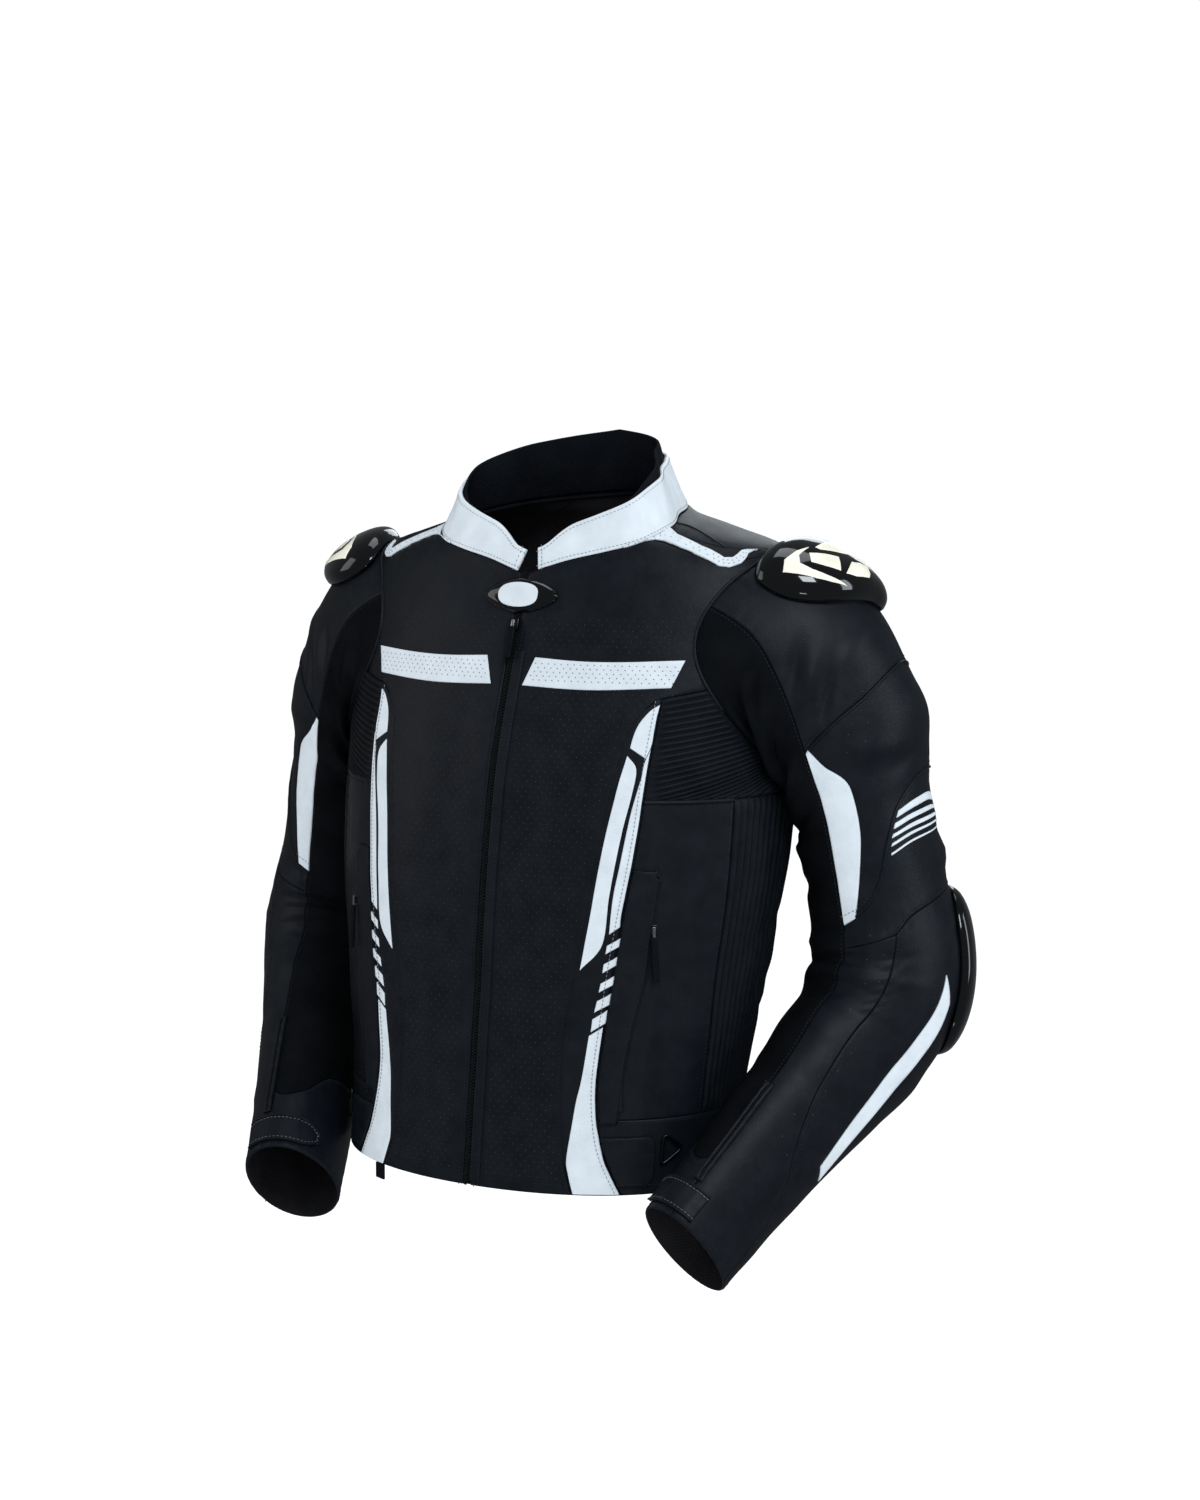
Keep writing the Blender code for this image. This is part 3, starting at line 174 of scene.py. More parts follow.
# plan places along the shoulder trim's front and back edge
TRIM_LOW = [(0.112, -0.079), (0.136, -0.076), (0.162, -0.066)]
TRIM_HIGH = [(0.114, -0.064), (0.137, -0.061), (0.161, -0.052)]
print("front neck to hem", round(NECK[0, 1] - HEM, 3), "m")

# %% sizes of the armhole and the sleeve
# the armhole's middle, its reach to front, back and top, and its lean
ARM_Y, ARM_Z, ARM_FRONT, ARM_BACK, ARM_UP, ARM_LEAN = -0.015, -0.117, 0.087, 0.062, 0.088, 0.1
# three places that the sleeve's middle line passes, and how wide its bend is
TOP = np.array([0.244, 0.013, -0.22])
ELBOW = np.array([0.286, 0.021, -0.398])
WRIST = np.array([0.191, -0.187, -0.578])
CUT = 0.075
# lengths along the sleeve: at TOP, where the tube begins, and at the cuff's end
START, HEAD, CUFF = 0.16, 0.205, 0.636
UPPER = float(np.linalg.norm(ELBOW - TOP))
DOWN = (ELBOW - TOP)/UPPER
AHEAD = (WRIST - ELBOW)/float(np.linalg.norm(WRIST - ELBOW))
BEND = START + UPPER
# length, reach of the tube to the outside, inside, front and back
WIDTH = np.array([
    (0.16, 0.067, 0.047, 0.074, 0.074), (0.205, 0.06, 0.051, 0.072, 0.072),
    (0.252, 0.057, 0.056, 0.071, 0.07), (0.344, 0.064, 0.062, 0.069, 0.074),
    (0.415, 0.056, 0.056, 0.066, 0.07), (0.486, 0.047, 0.048, 0.062, 0.063),
    (0.56, 0.041, 0.041, 0.057, 0.057), (0.64, 0.038, 0.038, 0.054, 0.054)])
# turn, direction in which the sleeve leaves the armhole, pull at its start and end
LEAVE = np.array([
    (0, 0.97, 0.05, -0.18, 1.24, 1.1), (45, 0.94, 0.0, -0.3, 1.14, 1.05),
    (90, 0.88, 0.08, -0.4, 1.0, 1.0), (135, 0.75, 0.2, -0.6, 0.9, 0.9),
    (180, 0.58, 0.35, -0.74, 0.8, 0.8), (225, 0.75, 0.15, -0.6, 0.9, 0.9),
    (270, 0.9, 0.1, -0.35, 1.0, 1.0), (315, 0.96, 0.08, -0.22, 1.14, 1.05),
    (360, 0.97, 0.05, -0.18, 1.24, 1.1)])
# length along the sleeve, turn of the front edge of the inner stretch piece
EDGE = np.array([
    (0.0, 60.0), (0.04, 62.0), (0.08, 70.0), (0.12, 79.0), (0.15, 84.0), (0.2, 88.0),
    (0.25, 92.0), (0.3, 97.0), (0.35, 99.0), (0.4, 95.0), (0.45, 89.0), (0.5, 85.0),
    (0.58, 82.0), (0.64, 80.0)])
REAR = -130.0
print("sleeve", CUFF, "m long")

# %% the main folds
# turn, height, half turn, half height, depth, slant
TRUNK_FOLDS = [
    (24, -0.3, 15, 0.11, 0.003, 0.0), (52, -0.33, 8, 0.09, -0.0025, 0.0),
    (150, -0.23, 14, 0.09, -0.005, 0.0), (122, -0.395, 20, 0.013, -0.004, 0.0004),
    (128, -0.365, 22, 0.014, 0.0035, 0.0004), (140, -0.435, 24, 0.014, 0.0035, -0.0003),
    (180, -0.35, 22, 0.03, -0.004, 0.0), (180, -0.12, 18, 0.06, 0.004, 0.0),
    (128, -0.105, 9, 0.045, -0.004, 0.0)]
# length, turn, half length, half turn, depth, slant
SLEEVE_FOLDS = [
    (0.138, -8, 0.02, 55, 0.007, 0.00005), (0.188, -8, 0.016, 55, -0.003, 0.0),
    (0.045, 118, 0.012, 24, -0.008, 0.0002), (0.078, 126, 0.014, 28, 0.006, 0.0002),
    (0.112, 124, 0.013, 30, -0.006, 0.0002), (0.15, 150, 0.014, 40, 0.0045, 0.0002),
    (0.296, 122, 0.014, 38, 0.0024, 0.0), (0.331, 118, 0.013, 42, -0.003, 0.0),
    (0.362, 112, 0.013, 42, 0.0026, 0.0), (0.394, 108, 0.015, 42, -0.0022, 0.0),
    (0.43, 104, 0.018, 44, 0.0016, 0.0), (0.252, -70, 0.014, 45, -0.0035, 0.0003),
    (0.228, -60, 0.012, 45, 0.003, 0.0003), (0.455, 200, 0.016, 45, 0.0035, 0.0002)]
print(len(TRUNK_FOLDS), "folds on the trunk,", len(SLEEVE_FOLDS), "on each sleeve")


# %% smooth reading of the tables
def table(rows, at):
    """Smooth curve through a table's rows: first column is the place, the rest values."""
    key, val = rows[:, 0], rows[:, 1:]
    at = np.asarray(at, float)
    step = np.diff(key)
    rise = np.diff(val, axis=0)/step[:, None]
    slope = np.empty_like(val)
    slope[1:-1] = (rise[:-1] + rise[1:])/2
    slope[0] = rise[0]
    slope[-1] = rise[-1]
    held = np.clip(at, key[0], key[-1])
    i = np.clip(np.searchsorted(key, held) - 1, 0, len(step) - 1)
    t = ((held - key[i])/step[i])[..., None]
    w = step[i][..., None]
    out = (2*t**3 - 3*t**2 + 1)*val[i] + (t**3 - 2*t**2 + t)*w*slope[i]
    out = out + (3*t**2 - 2*t**3)*val[i + 1] + (t**3 - t**2)*w*slope[i + 1]
    out = out + np.minimum(at - key[0], 0)[..., None]*slope[0]
    return out + np.maximum(at - key[-1], 0)[..., None]*slope[-1]


def unit(v):
    """Vectors of length one."""
    return v/np.maximum(np.linalg.norm(v, axis=-1, keepdims=True), 1e-12)


print("half width at the chest", float(table(TRUNK, -0.2)[0]), "m")


# %% the trunk's form
def trunk_point(turn, z):
    """The place on the trunk at a turn (0 front, 90 left) and a height."""
    s = table(TRUNK, z)
    t = np.radians(turn)
    c, q = np.cos(t), np.sin(t)
    n = s[..., 4]
    b = np.where(c > 0, s[..., 1], s[..., 2])
    x = s[..., 0]*np.sign(q)*np.abs(q)**(2/n)
    y = s[..., 3] - b*np.sign(c)*np.abs(c)**(2/n)
    return np.stack([x, y, np.asarray(z) + 0*x], -1)


def trunk_value(p):
    """Zero on the trunk, negative inside."""
    s = table(TRUNK, p[..., 2])
    y = p[..., 1] - s[..., 3]
    b = np.where(y < 0, s[..., 1], s[..., 2])
    return np.abs(p[..., 0]/s[..., 0])**s[..., 4] + np.abs(y/b)**s[..., 4] - 1


def trunk_normal(p):
    """The way out of the trunk, from how trunk_value changes."""
    e = 1e-5
    g = [trunk_value(p + e*a) - trunk_value(p - e*a) for a in np.eye(3)]
    return unit(np.stack(g, -1))


def trunk_turn(p):
    """The turn at a place, the reverse of trunk_point."""
    s = table(TRUNK, p[..., 2])
    y = p[..., 1] - s[..., 3]
    b = np.where(y < 0, s[..., 1], s[..., 2])
    q = np.abs(p[..., 0]/s[..., 0])**(s[..., 4]/2)
    c = -np.sign(y)*np.abs(y/b)**(s[..., 4]/2)
    return np.degrees(np.arctan2(q*np.sign(p[..., 0] + 1e-12), c))


# heights on the flat shoulders are spread out, so that rows there stay evenly apart
SPREAD_Z = np.array([-0.6, -0.06, -0.03, -0.012, 0.0, 0.03])
SPREAD_V = np.array([-0.6, -0.06, -0.027, 0.032, 0.074, 0.105])


def spread(z):
    """From a height to the spread height."""
    return np.interp(z, SPREAD_Z, SPREAD_V)


def unspread(v):
    """From the spread height back to a height."""
    return np.interp(v, SPREAD_V, SPREAD_Z)


def turn_at(x, z):
    """The turn of a place on the front that lies x aside."""
    s = table(TRUNK, z)
    return np.degrees(np.arcsin(np.clip(x/s[..., 0], 0, 1)**(s[..., 4]/2)))


def on_top(x, y):
    """Turn and length of the shoulder point above a place in plan."""
    lo, hi = -0.12, 0.03
    for _ in range(40):
        z = (lo + hi)/2
        if trunk_value(np.array([x, y, z])) > 0:
            hi = z
        else:
            lo = z
    p = np.array([x, y, lo])
    return float(trunk_turn(p)), float(spread(lo))


def trunk_waves(rows, turn, z):
    """The sum of soft troughs and ridges, alike on both sides."""
    d = 0*z
    a = np.abs((turn + 180) % 360 - 180)
    for t0, z0, ht, hz, depth, slant in rows:
        d = d + depth*np.exp(-((a - t0)/ht)**2 - ((z - z0 - slant*(a - t0))/hz)**2)
    return d


def from_armhole(p):
    """One at the armhole's rim, more away from it."""
    return np.hypot((p[..., 1] - ARM_Y)/(ARM_FRONT*0.93), (p[..., 2] - ARM_Z)/ARM_UP)


def trunk_fold(turn, z, p):
    """Depth of the main folds, which fade at the armhole, the hem and the shoulder."""
    d = trunk_waves(TRUNK_FOLDS, turn, z)*np.clip((from_armhole(p) - 1.02)/0.35, 0, 1)
    return d*np.clip((z - HEM)/0.03, 0, 1)*np.clip((-0.03 - z)/0.03, 0, 1)


print("chest round", round(2*math.pi*math.sqrt((0.204**2 + 0.125**2)/2), 3), "m")


# %% the sleeve's form
def armhole(turn):
    """The rim of the armhole at a turn (0 top, 90 front, 180 bottom)."""
    t = np.radians(turn)
    z = ARM_Z + ARM_UP*np.cos(t)
    deep = np.where(np.sin(t) > 0, ARM_FRONT, ARM_BACK)
    y = ARM_Y - deep*np.sin(t) + ARM_LEAN*(z - ARM_Z)
    s = table(TRUNK, z)
    yy = y - s[..., 3]
    b = np.where(yy < 0, s[..., 1], s[..., 2])
    k = np.clip(1 - np.abs(yy/b)**s[..., 4], 1e-6, 1)
    return np.stack([s[..., 0]*k**(1/s[..., 4]), y, z], -1)


def path(s):
    """The sleeve's middle line and its direction: two straights and a rounded elbow."""
    t = np.clip((s - BEND + CUT)/(2*CUT), 0, 1)[..., None]
    a, b = ELBOW - CUT*DOWN, ELBOW + CUT*AHEAD
    p = (1 - t)**2*a + 2*t*(1 - t)*ELBOW + t**2*b
    p = p + np.minimum(s - BEND + CUT, 0)[..., None]*DOWN
    p = p + np.maximum(s - BEND - CUT, 0)[..., None]*AHEAD
    return p, unit((1 - t)*DOWN + t*AHEAD)


def tube(s, turn):
    """The sleeve below its head (turn 0 outside, 90 front, 180 inside)."""
    c, t = path(s)
    v = table(WIDTH, s)
    r = np.radians(turn)
    out = unit(np.array([1.0, 0, 0]) - t[..., :1]*t)
    front = np.cross(t, out)
    wo = np.where(np.cos(r) > 0, v[..., 0], v[..., 1])*np.cos(r)
    wf = np.where(np.sin(r) > 0, v[..., 2], v[..., 3])*np.sin(r)
    return c + wo[..., None]*out + wf[..., None]*front


def bare_sleeve(s, turn):
    """The whole sleeve without folds; its head joins the armhole to the tube."""
    s, turn = np.broadcast_arrays(np.asarray(s, float), np.asarray(turn, float))
    a = armhole(turn)
    h = np.full(s.shape, HEAD)
    e = tube(h, turn)
    de = unit(tube(h + 0.004, turn) - tube(h - 0.004, turn))
    v = table(LEAVE, turn % 360)
    d0 = unit(v[..., :3])
    far = np.linalg.norm(e - a, axis=-1, keepdims=True)
    t = np.clip(s/HEAD, 0, 1)[..., None]
    p = (2*t**3 - 3*t**2 + 1)*a + (t**3 - 2*t**2 + t)*far*v[..., 3:4]*d0
    p = p + (3*t**2 - 2*t**3)*e + (t**3 - t**2)*far*v[..., 4:5]*de
    return np.where((s < HEAD)[..., None], p, tube(np.maximum(s, HEAD), turn))


def sleeve_normal(s, turn):
    """The way out of the sleeve, from small steps along and round it."""
    s, turn = np.broadcast_arrays(np.asarray(s, float), np.asarray(turn, float))
    lo, hi = np.maximum(s - 0.002, 0.0005), s + 0.002
    ds = bare_sleeve(hi, turn) - bare_sleeve(lo, turn)
    dt = bare_sleeve(np.maximum(s, 0.0005), turn + 1) - bare_sleeve(np.maximum(s, 0.0005), turn - 1)
    return unit(np.cross(dt, ds))


def sleeve_waves(rows, s, turn):
    """The sum of soft troughs and ridges on the sleeve."""
    d = 0*s
    for s0, t0, hs, ht, depth, slant in rows:
        a = (turn - t0 + 180) % 360 - 180
        d = d + depth*np.exp(-(a/ht)**2 - ((s - s0 - slant*a)/hs)**2)
    return d


def sleeve_fold(s, turn):
    """Depth of the main folds, which fade at the armhole."""
    return sleeve_waves(SLEEVE_FOLDS, s, turn)*np.clip(s/0.03, 0, 1)


def sleeve_point(s, turn):
    """Place and normal on the folded sleeve."""
    n = sleeve_normal(s, turn)
    return bare_sleeve(s, turn) + n*sleeve_fold(s, turn)[..., None], n


def mitre(turn):
    """The direction halfway between trunk and sleeve at the armhole, and its stretch."""
    a = trunk_normal(armhole(turn))
    m = unit(a + sleeve_normal(0.0005, turn))
    return m, 1/np.clip((a*m).sum(-1), 0.6, 1)


upper_arm = table(WIDTH, 0.25)
print("upper arm", round(float(upper_arm[0] + upper_arm[1]), 3), "m wide")


# %% [markdown]
# ## Finishes
# Leather is never one flat black: it has pores a millimetre apart, soft wrinkles, and a little
# polish where it bends.  Each such effect is a shader node group that is built once and used
# by several materials with its own values.

# %% node helpers
def group(name, ins, outs):
    """An empty shader node group with number inputs and the given outputs."""
    g = bpy.data.node_groups.new(name, "ShaderNodeTree")
    for word, kind, value in ins:
        s = g.interface.new_socket(word, in_out="INPUT", socket_type=kind)
        if value is not None:
            s.default_value = value
    for word, kind in outs:
        g.interface.new_socket(word, in_out="OUTPUT", socket_type=kind)
    return g, g.nodes.new("NodeGroupInput"), g.nodes.new("NodeGroupOutput")


def maths(tree, kind, a, b=None, clamp=False):
    """One step of arithmetic on sockets or numbers."""
    node = tree.nodes.new("ShaderNodeMath")
    node.operation = kind
    node.use_clamp = clamp
    for i, v in enumerate((a, b)):
        if v is None:
            continue
        if isinstance(v, (int, float)):
            node.inputs[i].default_value = v
        else:
            tree.links.new(v, node.inputs[i])
    return node.outputs[0]


def noise(tree, vector, scale, detail=3.0, rough=0.5):
    """Cloudy values from 0 to 1 over the given places."""
    node = tree.nodes.new("ShaderNodeTexNoise")
    tree.links.new(vector, node.inputs["Vector"])
    node.inputs["Scale"].default_value = scale
    node.inputs["Detail"].default_value = detail
    node.inputs["Roughness"].default_value = rough
    return node.outputs["Fac"]


# %% leather grain: pores between small raised cells, with broad unevenness over them
FLOAT, VECTOR = "NodeSocketFloat", "NodeSocketVector"
grain, gin, gout = group("leather_grain", [("Place", VECTOR, None), ("Pore", FLOAT, 900.0)],
                         [("Height", FLOAT), ("Shade", FLOAT)])
cells = grain.nodes.new("ShaderNodeTexVoronoi")
cells.feature = "DISTANCE_TO_EDGE"
grain.links.new(gin.outputs["Place"], cells.inputs["Vector"])
grain.links.new(gin.outputs["Pore"], cells.inputs["Scale"])
pebble = maths(grain, "MULTIPLY", cells.outputs["Distance"], 1.6, True)
broad = noise(grain, gin.outputs["Place"], 55.0, 4.0, 0.6)
fine_noise = noise(grain, gin.outputs["Place"], 420.0, 2.0)
height = maths(grain, "ADD", maths(grain, "MULTIPLY", pebble, 0.35), maths(grain, "MULTIPLY", broad, 1.6))
height = maths(grain, "ADD", height, maths(grain, "MULTIPLY", fine_noise, 0.25))
grain.links.new(height, gout.inputs["Height"])
grain.links.new(broad, gout.inputs["Shade"])
print("leather grain:", len(grain.nodes), "nodes")

# %% knit: rows of small loops, from the cloth's own length and width
knit, kin, kout = group("knit_loops", [("Place", VECTOR, None), ("Per metre", FLOAT, 700.0)],
                        [("Height", FLOAT)])
scaled = knit.nodes.new("ShaderNodeVectorMath")
scaled.operation = "SCALE"
knit.links.new(kin.outputs["Place"], scaled.inputs[0])
knit.links.new(kin.outputs["Per metre"], scaled.inputs["Scale"])
apart = knit.nodes.new("ShaderNodeSeparateXYZ")
knit.links.new(scaled.outputs[0], apart.inputs[0])
across = maths(knit, "SINE", maths(knit, "MULTIPLY", apart.outputs["X"], 2*math.pi))
along_rows = maths(knit, "SINE", maths(knit, "MULTIPLY", apart.outputs["Y"], 2*math.pi))
knit.links.new(maths(knit, "MULTIPLY", across, along_rows), kout.inputs["Height"])
print("knit loops:", len(knit.nodes), "nodes")


# %% materials from the groups
def principled(name, colour, rough, metal=0.0, **extra):
    """A new material with its main values set; returns it with its tree and shader."""
    mat = bpy.data.materials.new(name)
    mat.use_nodes = True
    node = mat.node_tree.nodes["Principled BSDF"]
    node.inputs["Base Color"].default_value = (*colour, 1)
    node.inputs["Roughness"].default_value = rough
    node.inputs["Metallic"].default_value = metal
    for key, value in extra.items():
        node.inputs[key.replace("_", " ")].default_value = value
    mat.diffuse_color = (*colour, 1)
    return mat, mat.node_tree, node


def ramp(tree, value, low, high):
    """A colour that runs from low to high as the value goes from 0.3 to 0.7."""
    node = tree.nodes.new("ShaderNodeValToRGB")
    node.color_ramp.elements[0].position = 0.3
    node.color_ramp.elements[1].position = 0.7
    node.color_ramp.elements[0].color = (*low, 1)
    node.color_ramp.elements[1].color = (*high, 1)
    tree.links.new(value, node.inputs["Fac"])
    return node.outputs["Color"]


def bump(tree, shader, height, depth, strength=1.0):
    """Fine relief that is too small to model."""
    node = tree.nodes.new("ShaderNodeBump")
    node.inputs["Strength"].default_value = strength
    node.inputs["Distance"].default_value = depth
    tree.links.new(height, node.inputs["Height"])
    tree.links.new(node.outputs["Normal"], shader.inputs["Normal"])


def leather(name, low, high, rough, depth, pore, spec):
    """Leather between two tones, a little rougher where it is paler."""
    mat, tree, shader = principled(name, high, rough, Specular_IOR_Level=spec)
    place = tree.nodes.new("ShaderNodeTexCoord")
    node = tree.nodes.new("ShaderNodeGroup")
    node.node_tree = grain
    node.inputs["Pore"].default_value = pore
    tree.links.new(place.outputs["Object"], node.inputs["Place"])
    tree.links.new(ramp(tree, node.outputs["Shade"], low, high), shader.inputs["Base Color"])
    spread_rough = maths(tree, "MULTIPLY", node.outputs["Shade"], 0.16)
    tree.links.new(maths(tree, "ADD", spread_rough, rough - 0.08), shader.inputs["Roughness"])
    bump(tree, shader, node.outputs["Height"], depth)
    return mat


def knitted(name, low, high, per_metre, depth):
    """Matte knit with loops along the cloth's own directions."""
    mat, tree, shader = principled(name, high, 0.85, Specular_IOR_Level=0.03)
    place = tree.nodes.new("ShaderNodeTexCoord")
    node = tree.nodes.new("ShaderNodeGroup")
    node.node_tree = knit
    node.inputs["Per metre"].default_value = per_metre
    tree.links.new(place.outputs["UV"], node.inputs["Place"])
    patch = noise(tree, place.outputs["Object"], 30.0)
    tree.links.new(ramp(tree, patch, low, high), shader.inputs["Base Color"])
    bump(tree, shader, node.outputs["Height"], depth, 0.7)
    return mat


black_leather = leather("black_leather", (0.0024, 0.0042, 0.0072), (0.0046, 0.0072, 0.0112),
                        0.45, 0.00022, 900.0, 0.2)
white_leather = leather("white_leather", (0.48, 0.53, 0.57), (0.55, 0.6, 0.64),
                        0.42, 0.00018, 1100.0, 0.3)
ribbed = leather("ribbed_leather", (0.0026, 0.0042, 0.0066), (0.0048, 0.007, 0.01),
                 0.52, 0.00015, 900.0, 0.15)
stretch = knitted("stretch_knit", (0.0022, 0.0028, 0.0036), (0.0042, 0.005, 0.0064), 500.0, 0.0003)
neck_knit = knitted("collar_knit", (0.004, 0.005, 0.007), (0.007, 0.0085, 0.0115), 350.0, 0.0004)
lining = knitted("lining_mesh", (0.01, 0.01, 0.012), (0.016, 0.016, 0.018), 300.0, 0.0003)
print("materials:", [m.name for m in bpy.data.materials])


# %% plain finishes: two tones in patches, or a polish that varies
def mottled(name, colour, rough, low, high, scale, detail=3.0, relief=0.0, **extra):
    """A material whose colour drifts between two tones, with relief where it is asked for."""
    mat, tree, shader = principled(name, colour, rough, **extra)
    place = tree.nodes.new("ShaderNodeTexCoord")
    patch = noise(tree, place.outputs["Object"], scale, detail)
    tree.links.new(ramp(tree, patch, low, high), shader.inputs["Base Color"])
    if relief:
        bump(tree, shader, patch, relief)
    return mat


def polished(name, colour, rough, metal, scale, drift, least, **extra):
    """A hard material whose roughness drifts up from its least value."""
    mat, tree, shader = principled(name, colour, rough, metal, **extra)
    place = tree.nodes.new("ShaderNodeTexCoord")
    smear = maths(tree, "MULTIPLY", noise(tree, place.outputs["Object"], scale, 4.0), drift)
    tree.links.new(maths(tree, "ADD", smear, least), shader.inputs["Roughness"])
    return mat

# %% [markdown]
# ## Laying out a cloth piece
# A piece of leather is drawn as four edges; a Coons patch fills the middle, so that the
# surface meets all its seams exactly.  The same edges serve both neighbours.  Each piece
# becomes a thin closed shell whose outer edge rolls down into the seam, as turned leather
# does.  Solidify could do the wall, but not the rolled edge.


# %% rows of places
def spaced(keys, steps):
    """Values between the keys, with the given number of steps in each gap."""
    out = [np.linspace(a, b, n, endpoint=False) for a, b, n in zip(keys[:-1], keys[1:], steps)]
    return np.append(np.concatenate(out), keys[-1])


def along(values, k):
    """A list read at places between its entries, component by component."""
    values = np.asarray(values, float)
    at = np.arange(len(values))
    if values.ndim == 1:
        return np.interp(k, at, values)
    return np.stack([np.interp(k, at, values[:, c]) for c in range(values.shape[1])], -1)


def curve(values, n):
    """A smooth row of n steps through a few places."""
    values = np.asarray(values, float)
    rows = np.column_stack([np.arange(len(values)), values])
    return table(rows, np.linspace(0, len(values) - 1, n + 1))


def line(a, b, n):
    """A straight row of n steps."""
    return np.linspace(np.asarray(a, float), np.asarray(b, float), n + 1)


def chain(*parts):
    """Rows joined end to end; each starts where the last one ended."""
    out = [np.asarray(parts[0], float)]
    for q in parts[1:]:
        out.append(np.asarray(q, float)[1:])
    return np.concatenate(out)


def coons(low, high, left, right, ease=0):
    """Fill between four rows of places; easing evens out the middle."""
    low, high, left, right = (np.asarray(e, float) for e in (low, high, left, right))
    u = np.linspace(0, 1, len(low))[None, :, None]
    v = np.linspace(0, 1, len(left))[:, None, None]
    g = (1 - v)*low[None] + v*high[None] + (1 - u)*left[:, None] + u*right[:, None]
    g = g - (1 - u)*(1 - v)*low[0] - u*(1 - v)*low[-1] - (1 - u)*v*high[0] - u*v*high[-1]
    for _ in range(ease):
        g[1:-1, 1:-1] = (g[:-2, 1:-1] + g[2:, 1:-1] + g[1:-1, :-2] + g[1:-1, 2:])/4
    return g


# %% [markdown]
# ## Creases
# Worn leather creases where the body bends: across the crook of the elbow, under the arm and
# at the waist.  Cloth simulation could find such folds, but thick leather that is filled out
# hangs smooth, and a few listed troughs and ridges of uneven length look more like it.

# %% places of the creases
# turn, height, half turn, half height, depth, slant
TRUNK_CREASES = [
    (14, -0.4, 4, 0.05, 0.0012, 0.0), (30, -0.46, 5, 0.06, -0.0014, 0.0),
    (8, -0.22, 5, 0.07, -0.001, 0.0), (36, -0.2, 7, 0.03, 0.0012, 0.0006),
    (48, -0.4, 3, 0.06, 0.001, 0.0), (60, -0.3, 4, 0.07, -0.0012, 0.0),
    (100, -0.4, 16, 0.008, 0.0016, 0.0005), (96, -0.34, 14, 0.008, -0.0015, 0.0004),
    (160, -0.3, 12, 0.01, 0.0014, 0.0003), (168, -0.43, 14, 0.01, 0.0014, -0.0003),
    (150, -0.16, 10, 0.012, 0.0012, 0.0006), (174, -0.2, 10, 0.02, 0.0012, 0.0),
    (135, -0.5, 18, 0.009, 0.0014, 0.0002), (45, -0.105, 8, 0.01, 0.001, 0.0008)]
# length, turn, half length, half turn, depth, slant
SLEEVE_CREASES = [
    (0.085, 20, 0.006, 26, 0.0012, 0.0003), (0.103, 52.5, 0.006, 12, -0.0024, 0.00116),
    (0.075, 58, 0.0055, 10, -0.002, 0.00104), (0.089, 56, 0.006, 10, 0.0014, 0.0011),
    (0.15, 40, 0.007, 22, 0.0013, -0.0003), (0.164, 18, 0.006, 30, -0.0012, 0.0002),
    (0.047, 77, 0.0055, 9, -0.0026, -0.0013), (0.02, 87.5, 0.011, 2.2, -0.0016, 0.0),
    (0.064, 84, 0.004, 12, -0.003, 0.0006), (0.052, 90, 0.005, 8, 0.0022, 0.0004),
    (0.06, 104, 0.005, 20, 0.003, 0.0003), (0.094, 108, 0.006, 22, -0.0034, 0.0003),
    (0.128, 112, 0.006, 24, 0.003, 0.0002), (0.17, 120, 0.007, 30, -0.0028, 0.0002),
    (0.205, 135, 0.008, 34, 0.0024, 0.0002), (0.238, 140, 0.007, 34, -0.0024, 0.0001),
    (0.28, 110, 0.006, 26, -0.0009, 0.0001), (0.314, 108, 0.006, 26, 0.0011, 0.0),
    (0.347, 104, 0.006, 28, 0.001, 0.0), (0.378, 102, 0.006, 28, -0.0009, 0.0),
    (0.3, 62, 0.006, 18, 0.0006, 0.0003), (0.322, 58, 0.006, 20, -0.0007, 0.0003),
    (0.35, 52, 0.007, 22, 0.0006, 0.0003), (0.41, 70, 0.008, 24, -0.0007, 0.0002),
    (0.44, 76, 0.007, 24, 0.0006, 0.0002), (0.48, 60, 0.01, 30, -0.001, 0.0002),
    (0.24, -20, 0.007, 30, 0.0014, 0.0002), (0.215, -35, 0.006, 34, -0.0014, 0.0002),
    (0.4, -60, 0.01, 30, 0.0012, 0.0002), (0.43, -90, 0.009, 40, -0.0014, 0.0002),
    (0.52, 150, 0.008, 40, 0.0016, 0.0001), (0.49, 170, 0.008, 40, -0.0018, 0.0001),
    (0.56, 20, 0.01, 40, 0.001, 0.0002), (0.3, 190, 0.007, 40, 0.002, 0.0),
    (0.335, 200, 0.007, 40, -0.002, 0.0), (0.13, -100, 0.01, 40, 0.0018, 0.0003),
    (0.165, -95, 0.009, 40, -0.0018, 0.0003), (0.07, -95, 0.012, 30, 0.0016, 0.0003)]
print(len(TRUNK_CREASES), "creases on the trunk,", len(SLEEVE_CREASES), "on each sleeve")


# %% surfaces with their creases
def uneven(p, depth=0.0005):
    """A slow, shallow unevenness that keeps wide panels from looking machined."""
    a = np.sin(p[..., 0]*61 + 1.3*np.sin(p[..., 2]*43)) * np.sin(p[..., 2]*52 + 1.7*np.sin(p[..., 1]*37))
    b = np.sin(p[..., 1]*97 + p[..., 2]*71 + 2.0*np.sin(p[..., 0]*58))
    return depth*(0.65*a + 0.35*b)


def trunk_crease(turn, z, p):
    """Depth of the creases, which fade at the armhole and the hem."""
    d = 1.5*trunk_waves(TRUNK_CREASES, turn, z) + uneven(p)
    return d*np.clip((from_armhole(p) - 1.02)/0.2, 0, 1)*np.clip((z - HEM)/0.02, 0, 1)


def creased(turn, z, p):
    """Trunk places moved out by all folds and creases, with their normals."""
    n = trunk_normal(p)
    return p + n*(trunk_fold(turn, z, p) + trunk_crease(turn, z, p))[..., None], n


